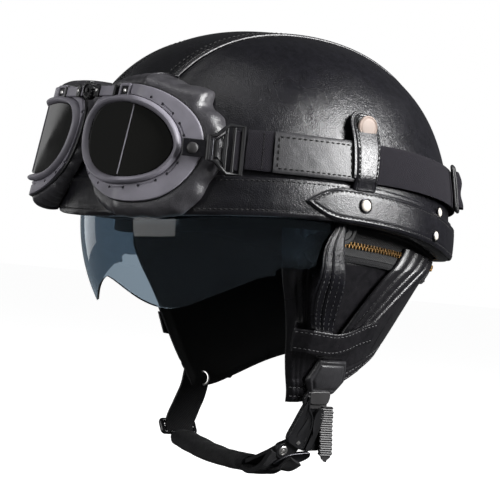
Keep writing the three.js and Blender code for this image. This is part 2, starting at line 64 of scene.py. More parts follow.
def lerp(a, b, t):
    return a + (b - a) * t


def clamp(t):
    return min(1.0, max(0.0, t))


def smooth(t):
    t = clamp(t)
    return t * t * (3 - 2 * t)


def along(table, t):
    if t <= table[0][0]:
        return table[0][1]
    for (t0, v0), (t1, v1) in zip(table, table[1:]):
        if t <= t1:
            return lerp(v0, v1, (t - t0) / (t1 - t0))
    return table[-1][1]


def eased(table, t):
    """Like along, with the corners of the table rounded off."""
    span = (table[-1][0] - table[0][0]) * 0.035
    return sum(along(table, t + span * k) for k in (-2, -1, 0, 1, 2)) / 5


def brim_z(th):
    s = math.sin(th)
    u = s if s < 0.62 else 0.62 + 0.12 * (1 - math.exp((0.62 - s) / 0.12))
    return 14.7 - 7 * u - 16.5 * u * u - 5.8 * max(u, 0) ** 3


def fullness(th):
    return 2.39 + 0.11 * math.sin(th)


def dome(th, z, off=0.0):
    n = fullness(th)
    t = max(z, 0) / (CROWN + off)
    r = 0.0 if t >= 1 else (1 - t**n) ** (1 / n)
    return Vector(((HALF_WIDTH + off) * r * math.cos(th), (HALF_LENGTH + off) * r * math.sin(th), z))


def dome_share(th, s, off, above=0.0):
    low = brim_z(th) + above
    z = low + (CROWN + off - low) * max(math.cos(s * math.pi / 2), 0) ** (2 / fullness(th))
    return dome(th, z, off)


def on_disk(x, y, off=0.0, above=0.0):
    return dome_share(math.atan2(y, x), min(1.0, math.hypot(x, y)), off, above)


def seam_point(y, at):
    lo, hi = 0.0, math.sqrt(max(1 - y * y, 0))
    for _ in range(32):
        mid = (lo + hi) / 2
        if on_disk(mid, y).x < at:
            lo = mid
        else:
            hi = mid
    return ((lo + hi) / 2, y)


def seam_reach(at):
    return math.sqrt(1 - (at / HALF_WIDTH) ** 2) * 0.999


def coons(bottom, top, left, right):
    c = [bottom(0), bottom(1), top(0), top(1)]

    def at(u, v):
        b, t, l, r = bottom(u), top(u), left(v), right(v)
        return [
            lerp(b[k], t[k], v) + lerp(l[k], r[k], u) - lerp(
                lerp(c[0][k], c[1][k], u), lerp(c[2][k], c[3][k], u), v
            )
            for k in (0, 1)
        ]

    return at


def rim(a0, a1):
    return lambda t: (math.cos(lerp(a0, a1, t)), math.sin(lerp(a0, a1, t)))


def mirrored(p, side):
    return Vector((p.x * side, p.y, p.z))


# ---------------------------------------------------------------- materials
def new_material(name):
    m = bpy.data.materials.new(name)
    m.use_nodes = True
    nt = m.node_tree
    return m, nt, nt.nodes["Principled BSDF"]


def node(nt, kind, **values):
    n = nt.nodes.new(kind)
    for key, value in values.items():
        if key in n.inputs:
            n.inputs[key].default_value = value
        else:
            setattr(n, key, value)
    return n


def coords(nt, scale=(1, 1, 1)):
    tc = nt.nodes.new("ShaderNodeTexCoord")
    mp = nt.nodes.new("ShaderNodeMapping")
    mp.inputs["Scale"].default_value = scale
    nt.links.new(tc.outputs["Object"], mp.inputs["Vector"])
    return mp.outputs["Vector"]


def ramp(nt, fac, stops):
    r = nt.nodes.new("ShaderNodeValToRGB")
    while len(r.color_ramp.elements) > len(stops):
        r.color_ramp.elements.remove(r.color_ramp.elements[-1])
    while len(r.color_ramp.elements) < len(stops):
        r.color_ramp.elements.new(0.5)
    for e, (pos, c) in zip(r.color_ramp.elements, stops):
        e.position = pos
        e.color = c if isinstance(c, tuple) else (c, c, c, 1)
    nt.links.new(fac, r.inputs["Fac"])
    return r.outputs["Color"]


def bump(nt, height, strength, distance, under=None):
    b = node(nt, "ShaderNodeBump", Strength=strength, Distance=distance)
    nt.links.new(height, b.inputs["Height"])
    if under is not None:
        nt.links.new(under, b.inputs["Normal"])
    return b.outputs["Normal"]


def leather(
    name, dark=(0.012, 0.011, 0.014, 1), light=(0.026, 0.024, 0.03, 1), rough=(0.34, 0.5), grain=1.0,
    coat=0.0, spec=0.5
):
    m, nt, bsdf = new_material(name)
    vec = coords(nt)
    cells = node(nt, "ShaderNodeTexVoronoi", feature="DISTANCE_TO_EDGE", Scale=780.0, Randomness=1.0)
    wrinkle = node(nt, "ShaderNodeTexNoise", Scale=190.0, Detail=5.0, Roughness=0.6, Distortion=0.6)
    broad = node(nt, "ShaderNodeTexNoise", Scale=24.0, Detail=3.0, Roughness=0.5)
    for n in (cells, wrinkle, broad):
        nt.links.new(vec, n.inputs["Vector"])
    n1 = bump(nt, broad.outputs["Fac"], 0.4 * grain, 0.002)
    n2 = bump(nt, wrinkle.outputs["Fac"], 0.42 * grain, 0.0005, n1)
    pits = ramp(nt, cells.outputs["Distance"], [(0.0, 0.0), (0.3, 1.0)])
    n3 = bump(nt, pits, 0.5 * grain, 0.00014, n2)
    nt.links.new(n3, bsdf.inputs["Normal"])
    nt.links.new(ramp(nt, wrinkle.outputs["Fac"], [(0.3, dark), (0.7, light)]), bsdf.inputs["Base Color"])
    nt.links.new(ramp(nt, broad.outputs["Fac"], [(0.3, rough[0]), (0.7, rough[1])]), bsdf.inputs["Roughness"])
    bsdf.inputs["Coat Weight"].default_value = coat
    bsdf.inputs["Coat Roughness"].default_value = 0.28
    bsdf.inputs["Specular IOR Level"].default_value = spec
    return m


def woven(name, dark, light, pitch=(700.0, 700.0, 1400.0), rough=0.85, strength=0.7, spec=0.25):
    m, nt, bsdf = new_material(name)
    vec = coords(nt, pitch)
    warp = node(
        nt, "ShaderNodeTexWave", wave_type="BANDS", bands_direction="Z", Scale=1.0, Distortion=0.6,
        Detail=1.0
    )
    weft = node(
        nt, "ShaderNodeTexWave", wave_type="BANDS", bands_direction="DIAGONAL", Scale=0.8, Distortion=0.8,
        Detail=1.0
    )
    fibres = node(nt, "ShaderNodeTexNoise", Scale=2.0, Detail=4.0)
    for n in (warp, weft, fibres):
        nt.links.new(vec, n.inputs["Vector"])
    mix = node(nt, "ShaderNodeMath", operation="MULTIPLY")
    nt.links.new(warp.outputs["Fac"], mix.inputs[0])
    nt.links.new(weft.outputs["Fac"], mix.inputs[1])
    n1 = bump(nt, mix.outputs[0], strength, 0.0004)
    n2 = bump(nt, fibres.outputs["Fac"], 0.3, 0.0002, n1)
    nt.links.new(n2, bsdf.inputs["Normal"])
    nt.links.new(ramp(nt, mix.outputs[0], [(0.1, dark), (0.7, light)]), bsdf.inputs["Base Color"])
    bsdf.inputs["Roughness"].default_value = rough
    bsdf.inputs["Sheen Weight"].default_value = 0.06
    bsdf.inputs["Sheen Roughness"].default_value = 0.4
    bsdf.inputs["Specular IOR Level"].default_value = spec
    return m


def plastic(name, colour, rough=(0.4, 0.5), speck=900.0, strength=0.15, metallic=0.0, spec=0.5):
    m, nt, bsdf = new_material(name)
    vec = coords(nt)
    fine = node(nt, "ShaderNodeTexNoise", Scale=speck, Detail=4.0)
    broad = node(nt, "ShaderNodeTexNoise", Scale=60.0, Detail=3.0)
    for n in (fine, broad):
        nt.links.new(vec, n.inputs["Vector"])
    nt.links.new(bump(nt, fine.outputs["Fac"], strength, 0.00012), bsdf.inputs["Normal"])
    nt.links.new(ramp(nt, broad.outputs["Fac"], [(0.3, rough[0]), (0.7, rough[1])]), bsdf.inputs["Roughness"])
    low = tuple(c * 0.88 for c in colour) + (1,)
    high = tuple(min(c * 1.12, 1) for c in colour) + (1,)
    nt.links.new(ramp(nt, broad.outputs["Fac"], [(0.35, low), (0.65, high)]), bsdf.inputs["Base Color"])
    bsdf.inputs["Metallic"].default_value = metallic
    bsdf.inputs["Specular IOR Level"].default_value = spec
    return m


LEATHER = leather(
    "leather_cover", dark=(0.0028, 0.0027, 0.004, 1), light=(0.0075, 0.0072, 0.01, 1), rough=(0.25, 0.35),
    spec=0.62
)
# Goggle skirt leather: the lighter base colour is partly the skirt's own dark grey and partly painted sheen,
# standing in for the soft highlights on its padded surface.
LEATHER_PAINTED_SHEEN = leather(
    "leather_painted_sheen", dark=(0.034, 0.033, 0.037, 1), light=(0.056, 0.054, 0.06, 1), rough=(0.28, 0.38),
    grain=1.0, spec=0.7
)
LEATHER_SHINY = leather(
    "leather_shiny", dark=(0.006, 0.006, 0.007, 1), light=(0.014, 0.013, 0.015, 1), rough=(0.2, 0.32),
    grain=0.7
)
THREAD = woven(
    "thread", (0.01, 0.01, 0.01, 1), (0.035, 0.034, 0.036, 1), (3000.0,) * 3, rough=0.6, strength=0.4
)
THREAD_LIGHT = woven(
    "thread_light", (0.06, 0.06, 0.062, 1), (0.16, 0.16, 0.164, 1), (3000.0,) * 3, rough=0.5, strength=0.4
)
ELASTIC = woven(
    "elastic", (0.006, 0.005, 0.008, 1), (0.03, 0.027, 0.036, 1), (420.0, 420.0, 900.0), rough=0.85,
    strength=1.0, spec=0.15
)
WEBBING = woven(
    "webbing", (0.004, 0.004, 0.005, 1), (0.02, 0.02, 0.022, 1), (520.0, 520.0, 520.0), rough=0.75,
    strength=1.0
)
KNIT = woven(
    "knit_lining", (0.008, 0.008, 0.008, 1), (0.03, 0.03, 0.03, 1), (900.0, 900.0, 900.0), rough=0.95
)
TAPE = woven(
    "zip_tape", (0.004, 0.004, 0.004, 1), (0.1, 0.1, 0.104, 1), (430.0, 430.0, 760.0), rough=0.7,
    strength=1.0, spec=0.4
)
FRAME = plastic("frame_plastic", (0.215, 0.205, 0.238), (0.42, 0.5), strength=0.3)
BLACK = plastic("black_plastic", (0.012, 0.012, 0.013), (0.32, 0.44), spec=0.35)
GLOSSY = plastic("black_paint", (0.01, 0.01, 0.011), (0.2, 0.3), strength=0.08, spec=0.6)
GREY = plastic("grey_plastic", (0.034, 0.033, 0.034), (0.42, 0.52))
STEEL = plastic("steel", (0.6, 0.59, 0.58), (0.28, 0.38), strength=0.05, metallic=1.0)
BRONZE = plastic("bronze", (0.3, 0.235, 0.2), (0.5, 0.6), strength=0.4, spec=0.5)
BRASS = plastic("zip_brass", (0.24, 0.14, 0.055), (0.36, 0.46), strength=0.15, metallic=1.0)
FOAM = plastic("foam", (0.015, 0.015, 0.016), (0.8, 0.95), speck=300.0, strength=0.5)
SHELL = plastic("shell_plastic", (0.012, 0.012, 0.013), (0.3, 0.4))


def clear(name, tint, rough):
    m, nt, bsdf = new_material(name)
    bsdf.inputs["Base Color"].default_value = tint
    bsdf.inputs["Roughness"].default_value = rough
    return m, nt, bsdf


# ---------------------------------------------------------------- meshes
def mesh_object(name, verts, faces, material, flat=False):
    me = bpy.data.meshes.new(name)
    me.from_pydata([tuple(v * 0.001) for v in verts], [], faces)
    me.validate()
    me.materials.append(material)
    ob = bpy.data.objects.new(name, me)
    bpy.context.scene.collection.objects.link(ob)
    if not flat:
        for p in me.polygons:
            p.use_smooth = True
        me.set_sharp_from_angle(angle=rad(42))
    return ob


def finish_piece(ob, body, nodes=(), bevel=0.0):
    if bevel:
        b = ob.modifiers.new("edge", "BEVEL")
        b.width = bevel * 0.001
        b.segments = 2
        b.limit_method = "ANGLE"
        b.angle_limit = rad(50)
    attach(ob, body)
    if nodes:
        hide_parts(*nodes)
    return ob


def outward(verts, faces):
    """Faces turned so that the closed mesh's volume is positive."""
    vol = 0.0
    for f in faces:
        a = verts[f[0]]
        for i in range(1, len(f) - 1):
            vol += a.dot(verts[f[i]].cross(verts[f[i + 1]]))
    return [tuple(reversed(f)) for f in faces] if vol < 0 else faces


def sheet(name, nu, nv, fn, material, body="helmet", nodes=(), bevel=0.35):
    """Closed sheet: fn(u, v, w) with w 0 on the inner and 1 on the outer face."""
    verts = [fn(i / nu, j / nv, w) for w in (0.0, 1.0) for j in range(nv + 1) for i in range(nu + 1)]
    row, size = nu + 1, (nu + 1) * (nv + 1)
    faces = []
    for j in range(nv):
        for i in range(nu):
            a = j * row + i
            faces.append((a, a + row, a + row + 1, a + 1))
            faces.append((size + a, size + a + 1, size + a + row + 1, size + a + row))
    for i in range(nu):
        faces.append((i, i + 1, size + i + 1, size + i))
        t = nv * row + i
        faces.append((t, size + t, size + t + 1, t + 1))
    for j in range(nv):
        a, b = j * row, j * row + nu
        faces.append((a, size + a, size + a + row, a + row))
        faces.append((b, b + row, size + b + row, size + b))
    ob = mesh_object(name, verts, outward(verts, faces), material)
    return finish_piece(ob, body, nodes, bevel)


def loop_solid(name, n, profile, fn, material, body="helmet", nodes=(), bevel=0.0):
    """Closed ring: fn(angle, a, b) for each [a, b] of a closed profile."""
    verts = [fn(TAU * i / n, a, b) for i in range(n) for a, b in profile]
    k = len(profile)
    faces = []
    for i in range(n):
        for j in range(k):
            a, b = i * k + j, i * k + (j + 1) % k
            c, d = (i + 1) % n * k + (j + 1) % k, (i + 1) % n * k + j
            faces.append((a, b, c, d))
    ob = mesh_object(name, verts, outward(verts, faces), material)
    return finish_piece(ob, body, nodes, bevel)


def bowl(name, n, steps, fn, material, body="helmet", nodes=(), bevel=0.6):
    """Closed bowl: fn(angle, s, w), s 0 at the crown and 1 at the rim."""
    verts, faces = [], []
    for w in (1.0, 0.0):
        verts.append(fn(0.0, 0.0, w))
        for j in range(1, steps + 1):
            verts += [fn(TAU * i / n, j / steps, w) for i in range(n)]
    size = 1 + n * steps
    for base, flip in ((0, False), (size, True)):
        for i in range(n):
            k = (i + 1) % n
            f = [(base, base + 1 + i, base + 1 + k)]
            for j in range(steps - 1):
                a = base + 1 + j * n
                f.append((a + i, a + n + i, a + n + k, a + k))
            faces += [tuple(reversed(q)) for q in f] if flip else f
    for i in range(n):
        k = (i + 1) % n
        a = 1 + (steps - 1) * n
        faces.append((a + i, size + a + i, size + a + k, a + k))
    ob = mesh_object(name, verts, outward(verts, faces), material)
    return finish_piece(ob, body, nodes, bevel)


def frame_at(points, i, closed=False):
    n = len(points)
    a = points[(i - 1) % n] if closed or i > 0 else points[i]
    b = points[(i + 1) % n] if closed or i < n - 1 else points[i]
    return (b - a).normalized()


def tube(
    name, points, radius, material, body="helmet", sides=10, closed=False, up=Vector((0, 0, 1)), flat=1.0,
    nodes=()
):
    """Round or flattened tube along points."""
    verts, faces, n = [], [], len(points)
    for i, p in enumerate(points):
        t = frame_at(points, i, closed)
        x = t.cross(up)
        if x.length < 1e-4:
            x = t.cross(Vector((0, 1, 0)))
        x.normalize()
        y = x.cross(t).normalized()
        r = radius(i / (n - 1)) if callable(radius) else radius
        for k in range(sides):
            a = TAU * k / sides
            verts.append(p + x * r * flat * math.cos(a) + y * r * math.sin(a))
    for i in range(n if closed else n - 1):
        for k in range(sides):
            a, b = i * sides + k, i * sides + (k + 1) % sides
            c, d = (i + 1) % n * sides + (k + 1) % sides, (i + 1) % n * sides + k
            faces.append((a, b, c, d))
    if not closed:
        faces.append(tuple(range(sides)))
        faces.append(tuple((n - 1) * sides + k for k in reversed(range(sides))))
    ob = mesh_object(name, verts, outward(verts, faces), material)
    return finish_piece(ob, body, nodes, 0.0)


def rod(name, a, b, radius, material, body="helmet", sides=32, bevel=0.3, nodes=(), tip=None):
    """Turned piece between two points; tip gives (share of length, share of radius) steps."""
    axis = (b - a).normalized()
    x = axis.cross(Vector((0, 0, 1)))
    if x.length < 1e-3:
        x = axis.cross(Vector((0, 1, 0)))
    x.normalize()
    y = axis.cross(x)
    steps = tip or [(0.0, 1.0), (1.0, 1.0)]
    verts, faces = [], []
    for t, r in steps:
        for k in range(sides):
            ang = TAU * k / sides
            verts.append(a.lerp(b, t) + (x * math.cos(ang) + y * math.sin(ang)) * radius * r)
    for j in range(len(steps) - 1):
        for k in range(sides):
            n = (k + 1) % sides
            faces.append((j * sides + k, j * sides + n, (j + 1) * sides + n, (j + 1) * sides + k))
    faces.append(tuple(reversed(range(sides))))
    faces.append(tuple((len(steps) - 1) * sides + k for k in range(sides)))
    ob = mesh_object(name, verts, outward(verts, faces), material)
    return finish_piece(ob, body, nodes, bevel if not tip else 0.0)


def stitches(name, rows, material=None, body="helmet", pitch=4.2, length=3.0, radius=0.42, sink=0.1):
    """Thread stitches. Each row is a list of (point, outward normal) close together."""
    verts, faces = [], []
    for row in rows:
        dist = [0.0]
        for (p, _), (q, _) in zip(row, row[1:]):
            dist.append(dist[-1] + (q - p).length)
        count = max(int(dist[-1] / pitch), 1)
        step = dist[-1] / count

        def at(d):
            d = min(max(d, 0.0), dist[-1])
            k = 1
            while k < len(dist) - 1 and dist[k] < d:
                k += 1
            t = (d - dist[k - 1]) / max(dist[k] - dist[k - 1], 1e-6)
            return row[k - 1][0].lerp(row[k][0], t), row[k - 1][1].lerp(row[k][1], t).normalized()

        for i in range(count):
            c0 = (i + 0.5) * step
            lean = random.uniform(-0.12, 0.12)
            base = len(verts)
            stations = 5
            for s in range(stations):
                t = s / (stations - 1) - 0.5
                p, nrm = at(c0 + t * length)
                q, _ = at(c0 + t * length + 0.2)
                tang = (q - p).normalized() if (q - p).length > 1e-6 else Vector((1, 0, 0))
                across = nrm.cross(tang).normalized()
                r = radius * math.sqrt(max(1 - (2 * t) ** 2, 0.06))
                lift = radius * (0.7 - 2.2 * t * t) - sink
                centre = p + nrm * lift + across * lean * t * 2
                for k in range(6):
                    a = TAU * k / 6
                    verts.append(centre + across * r * math.cos(a) + nrm * r * math.sin(a))
            for s in range(stations - 1):
                for k in range(6):
                    a, b = base + s * 6 + k, base + s * 6 + (k + 1) % 6
                    faces.append((a, b, b + 6, a + 6))
            faces.append(tuple(base + k for k in reversed(range(6))))
            faces.append(tuple(base + (stations - 1) * 6 + k for k in range(6)))
    ob = mesh_object(name, verts, faces, material or THREAD)
    return finish_piece(ob, body)


def surface_row(fn, n=60):
    """Row of (point, normal) from fn(t, off)."""
    out = []
    for i in range(n + 1):
        t = i / n
        p = fn(t, 0.0)
        out.append((p, (fn(t, 1.0) - p).normalized()))
    return out


# ---------------------------------------------------------------- camera, lights and stage
AZIMUTH, ELEVATION, ROLL, DISTANCE = rad(55), rad(-1), rad(5.4), 1.5
BACK = Vector(
    (math.sin(AZIMUTH) * math.cos(ELEVATION), -math.cos(AZIMUTH) * math.cos(ELEVATION), math.sin(ELEVATION))
)
LEVEL = Vector((math.cos(AZIMUTH), math.sin(AZIMUTH), 0))
UPRIGHT = BACK.cross(LEVEL)
RIGHT = LEVEL * math.cos(ROLL) + UPRIGHT * math.sin(ROLL)
UP = UPRIGHT * math.cos(ROLL) - LEVEL * math.sin(ROLL)

scene = bpy.context.scene
scene.view_settings.view_transform = "Standard"


def aimed(data, name, place, target=Vector((0, 0, 0))):
    ob = bpy.data.objects.new(name, data)
    ob.location = place
    ob.rotation_euler = (place - target).to_track_quat("Z", "Y").to_euler()
    scene.collection.objects.link(ob)
    return ob


cam_data = bpy.data.cameras.new("camera")
cam_data.sensor_width = 36
cam_data.lens = 155.5
cam_data.shift_x = -0.0114
cam_data.shift_y = -0.0196
cam = bpy.data.objects.new("camera", cam_data)
cam.matrix_world = Matrix.Translation(BACK * DISTANCE) @ Matrix((RIGHT, UP, BACK)).transposed().to_4x4()
scene.collection.objects.link(cam)
scene.camera = cam


def softbox(name, right, up, back, size, watts, target=Vector((0, 0, 0))):
    data = bpy.data.lights.new(name, "AREA")
    data.shape = "RECTANGLE"
    data.size, data.size_y = size
    data.energy = watts
    return aimed(data, name, RIGHT * right + UP * up + BACK * back, target)


softbox("key", 1.05, 0.5, 0.43, (0.55, 0.85), 40, UP * 0.42 + BACK * 0.06)
softbox("front_fill", -1.45, 0.4, 1.0, (1.2, 1.3), 18)
softbox("top_strip", -0.15, 1.5, 0.35, (0.9, 0.12), 2.5)
softbox("far_panel", -1.0, 0.28, -0.9, (0.586, 0.9), 2.4)

world = bpy.data.worlds.new("studio")
scene.world = world
world.use_nodes = True
wnt = world.node_tree
seen = wnt.nodes["Background"]
seen.inputs["Color"].default_value = (1, 1, 1, 1)
seen.inputs["Strength"].default_value = 1.0
lit = node(wnt, "ShaderNodeBackground", Strength=0.06)
lit.inputs["Color"].default_value = (0.95, 0.97, 1, 1)
path = wnt.nodes.new("ShaderNodeLightPath")
either = wnt.nodes.new("ShaderNodeMixShader")
through = node(wnt, "ShaderNodeMath", operation="MAXIMUM")
wnt.links.new(path.outputs["Is Camera Ray"], through.inputs[0])
wnt.links.new(path.outputs["Is Transmission Ray"], through.inputs[1])
wnt.links.new(through.outputs[0], either.inputs["Fac"])
wnt.links.new(lit.outputs[0], either.inputs[1])
wnt.links.new(seen.outputs[0], either.inputs[2])
wnt.links.new(either.outputs[0], wnt.nodes["World Output"].inputs["Surface"])

FLOOR, FLOOR_HALF = CAD_BOX[0][2] - 0.004, 30.0
floor_mesh = bpy.data.meshes.new("studio_floor")
floor_mesh.from_pydata(
    [(x * FLOOR_HALF, y * FLOOR_HALF, FLOOR) for x, y in ((-1, -1), (1, -1), (1, 1), (-1, 1))], [],
    [(0, 1, 2, 3)]
)
floor_mat, _, fb = new_material("studio_floor")
fb.inputs["Base Color"].default_value = (0.4, 0.4, 0.4, 1)
fb.inputs["Roughness"].default_value = 0.9
fb.inputs["Emission Color"].default_value = (1, 1, 1, 1)
fb.inputs["Emission Strength"].default_value = 0.95
floor_mesh.materials.append(floor_mat)
floor = bpy.data.objects.new("studio_floor", floor_mesh)
scene.collection.objects.link(floor)
floor.visible_glossy = floor.visible_diffuse = False


# ---------------------------------------------------------------- leather over the dome
def cover(name, patch, nu, nv, side, node_name):
    def at(u, v, w):
        x, y = patch(u, v)
        off = -1.6
        if w > 0.5:
            p = on_disk(x, y, 0.0)
            d = abs(abs(p.x) - SEAM_X)
            off = (
                0.22 * noise.noise(p * 0.028) - 1.0 * math.exp(-((d / 1.6) ** 2))
                + 0.5 * math.exp(-(((d - 4.2) / 2.6) ** 2))
            )
        return mirrored(on_disk(x, y, off), side)

    return sheet(name, nu, nv, at, LEATHER, nodes=(node_name,), bevel=0.0)


AT_SIDE, AT_STRIP = SEAM_X + 0.25, SEAM_X - 0.25
side_reach, strip_reach = seam_reach(AT_SIDE), seam_reach(AT_STRIP)
side_corner, strip_corner = math.asin(side_reach), math.asin(strip_reach)
SHOULDER = rad(48)
side_patch = coons(
    rim(-SHOULDER, SHOULDER),
    lambda u: seam_point(lerp(-side_reach, side_reach, u), AT_SIDE),
    rim(-SHOULDER, -side_corner),
    rim(SHOULDER, side_corner),
)


def strip_seam(side):
    def at(u):
        x, y = seam_point(lerp(-strip_reach, strip_reach, u), AT_STRIP)
        return side * x, y

    return at


strip_patch = coons(
    strip_seam(-1), strip_seam(1), rim(-math.pi + strip_corner, -strip_corner),
    rim(math.pi - strip_corner, strip_corner)
)
for side, word in ((1, "left"), (-1, "right")):
    cover("cover_side_" + word, side_patch, 110, 56, side, "leather_side_" + word)
cover("cover_crown", strip_patch, 130, 42, 1, "leather_crown_strip")


def seam_line(at, side, n=150, start=-1.0, end=1.0):
    r = seam_reach(at)

    def fn(t, off):
        return mirrored(on_disk(*seam_point(lerp(start * r, end * r, t), at), off), side)

    return surface_row(fn, n)


for side, word in ((1, "left"), (-1, "right")):
    line = seam_line(SEAM_X, side)
    tube("crown_piping_" + word, [p + n * 0.25 for p, n in line], 1.3, LEATHER_SHINY, sides=12)
    line = seam_line(SEAM_X - 3.4, side)
    tube("crown_fold_" + word, [p - n * 0.1 for p, n in line], 0.8, LEATHER_SHINY, sides=10)
stitches(
    "crown_stitching", [seam_line(at, side) for side in (1, -1) for at in (SEAM_X - 5.2, SEAM_X - 8.6)],
    THREAD, pitch=3.9, length=2.6, radius=0.5
)

# ---------------------------------------------------------------- brim band and rear band
BRIM = [
    (1.6, -0.3), (2.15, 1.2), (2.35, 2.4), (2.1, 3.2), (2.35, 4.2), (2.25, 9), (2.15, 15), (2.2, 20.6),
    (1.95, 22.0),
    (2.1, 23.2), (1.75, 24.7), (1.1, 25.1), (0.8, 24.4), (0.8, 12), (0.8, 2.6), (-2.5, 1.0), (-6.5, 0.8),
    (-6.9, 0.1), (-6.2, -0.6), (-3, -0.95), (0.4, -0.9),
]


def brim_point(th, off, up):
    z = brim_z(th) + up
    if 1 < up < 25 and off > 1:
        ripple = noise.noise(Vector((math.cos(th) * 14, math.sin(th) * 14, up * 0.16)))
        off += 0.22 * ripple
    return dome(th, z, off)


loop_solid("brim_leather", 300, BRIM, brim_point, LEATHER, nodes=("brim_band",))


def round_row(up, off, n=300):
    return surface_row(lambda t, o: dome(TAU * t, brim_z(TAU * t) + up, off + o), n)


stitches(
    "brim_stitching", [round_row(3.2, 2.2), round_row(22.0, 2.0)], THREAD, pitch=3.4, length=2.5, radius=0.38
)

BAND_FROM, BAND_TO = rad(-18.3), rad(198.3)
BAND_LONG = (BAND_TO - BAND_FROM) * 130.0


def band_share(t):
    s = min(t, 1 - t) * BAND_LONG / 27.0
    return 1.0 if s >= 1 else max(s * (2 - s), 0.03)


def rear_band_point(t, across, off):
    th = lerp(BAND_FROM, BAND_TO, t)
    half = REAR_BAND_HEIGHT / 2
    return dome(th, brim_z(th) + half + across * half * band_share(t), off)


def rear_band(u, v, w):
    e = 0.5 - 0.5 * math.cos(math.pi * u)
    t = lerp(u, e, 0.35)
    a = 2 * v - 1
    if w < 0.5:
        return rear_band_point(t, a, 2.6)
    edge = (1 - abs(a)) * REAR_BAND_HEIGHT / 2 * band_share(t)
    tip = min(t, 1 - t) * BAND_LONG
    e = min(edge, tip)
    off = 3.5 + 0.95 * smooth(e / 1.6) - 0.5 * math.exp(-(((e - 2.7) / 0.8) ** 2))
    p = rear_band_point(t, a, off)
    return p + Vector((p.x, p.y, 0)).normalized() * 0.2 * noise.noise(p * 0.09)


sheet("rear_band_leather", 420, 26, rear_band, LEATHER, nodes=("rear_band",), bevel=0.0)


def band_row(sign):
    def fn(t, o):
        t = lerp(0.0085, 0.9915, t)
        share = max(band_share(t) - 2.7 / (REAR_BAND_HEIGHT / 2), 0.0)
        th = lerp(BAND_FROM, BAND_TO, t)
        half = REAR_BAND_HEIGHT / 2
        return dome(th, brim_z(th) + half + sign * half * share, 4.0 + o)

    return surface_row(fn, 420)


stitches("rear_band_stitching", [band_row(1), band_row(-1)], THREAD, pitch=3.3, length=2.4, radius=0.38)


# ---------------------------------------------------------------- turned metal pieces
def turned(name, base, axis, profile, material, body="helmet", nodes=(), sides=40):
    """profile: [height, radius] steps in millimetres from base along axis."""
    length = profile[-1][0] - profile[0][0]
    start = base + axis.normalized() * profile[0][0]
    end = base + axis.normalized() * profile[-1][0]
    steps = [((h - profile[0][0]) / length, max(r, 0.05)) for h, r in profile]
    return rod(name, start, end, 1.0, material, body, sides=sides, nodes=nodes, tip=steps)


def dome_frame(th, z, off, side=1):
    p = mirrored(dome(th, z, off), side)
    q = mirrored(dome(th, z, off + 1), side)
    e = mirrored(dome(th, z + 1, off), side)
    out = (q - p).normalized()
    up = (e - p).normalized()
    out = (out - up * out.dot(up)).normalized()
    return p, out


RING = [(0, 4.9), (0.3, 5.1), (0.9, 5.0), (1.15, 4.4), (0.9, 3.9), (0.7, 3.7)]
CAP = [(0, 3.9), (0.9, 3.8), (1.4, 3.5), (1.75, 2.8), (1.9, 1.8), (1.95, 0.6)]
PEARL = plastic("pearl", (0.62, 0.58, 0.52), (0.3, 0.4), strength=0.05)
DARK_METAL = plastic("black_metal", (0.05, 0.05, 0.055), (0.22, 0.34), strength=0.05, metallic=1.0)
for side, word in ((1, "left"), (-1, "right")):
    p, out = dome_frame(rad(-1), 27, 4.25, side)
    turned("band_snap_ring_" + word, p, out, RING, DARK_METAL)
    turned("band_snap_cap_" + word, p, out, CAP, PEARL, nodes=("band_snap_" + word,))
    for k, (deg, z, off) in enumerate(((29, 13.4, 4.3), (33, 29.5, 2.3))):
        p, out = dome_frame(rad(deg), z, off, side)
        turned("rear_snap_ring_%d_%s" % (k, word), p, out, [(h, r * 0.8) for h, r in RING], DARK_METAL)
        turned("rear_snap_cap_%d_%s" % (k, word), p, out, [(h, r * 0.8) for h, r in CAP], PEARL)

# ---------------------------------------------------------------- inside: foam, lining and crown pad
def foam_off(y):
    return lerp(-22.5, -9, smooth((y - 6) / 36))


def foam_point(th, s, w):
    if w < 0.5:
        return dome_share(th, s, -36, -1)
    y = dome_share(th, s, -10, -1).y
    return dome_share(th, s, foam_off(y), -1)


bowl("foam_liner", 120, 40, foam_point, FOAM, nodes=("eps_liner",), bevel=0.0)
bowl(
    "shell_moulding", 120, 30, lambda th, s, w: dome_share(th, s, lerp(-6.8, -3, w), 1.5), SHELL,
    nodes=("outer_shell",), bevel=0.0
)


def lining_point(th, s, w):
    if w > 0.5:
        return dome_share(th, s, -36.5, -9)
    channels = abs(math.cos(4 * th)) ** 0.35
    rings = abs(math.sin(math.pi * (s * 3.2 + 0.25))) ** 0.4
    thick = 2.6 + 3.0 * channels * rings * smooth((1.02 - s) / 0.05)
    return dome_share(th, s, -36.5 - thick, -9)


lining = bowl("comfort_lining", 240, 90, lining_point, KNIT, nodes=("comfort_liner",), bevel=0.0)


def crown_pad_point(th, s, w):
    r = 26 * math.sin(s * math.pi / 2) ** 0.75
    mid = 93.5
    puff = 3.4 * (1 - s**4) ** 0.5 * (0.75 + 0.25 * abs(math.cos(3 * th)) ** 0.4)
    return Vector((r * math.cos(th), r * math.sin(th), mid + (1 if w > 0.5 else -1) * puff))


pad = bowl("crown_cushion", 72, 14, crown_pad_point, KNIT, nodes=("crown_pad",), bevel=0.0)


# ---------------------------------------------------------------- goggle strap round the helmet
def strap_z(th):
    return 55 - 14 * math.sin(max(th, 0)) ** 2


def strap_point(th, up, off, side=1):
    z = strap_z(min(th, math.pi - th)) + up
    return mirrored(dome(th, z, off), side)


def strap_strip(name, start, end, nu, inner, outer, half, material, side=1, nodes=(), wave=0.12, swell=0.25):
    def at(u, v, w):
        th = lerp(start, end, u)
        up = lerp(-half, half, v)
        if w < 0.5:
            return strap_point(th, up, inner, side)
        edge = 1 - abs(2 * v - 1)
        off = outer - swell + swell * smooth(edge / 0.12)
        p = strap_point(th, up, off, side)
        return p + Vector((p.x, p.y, 0)).normalized() * wave * noise.noise(p * 0.12)

    return sheet(name, nu, 20, at, material, nodes=nodes, bevel=0.0)


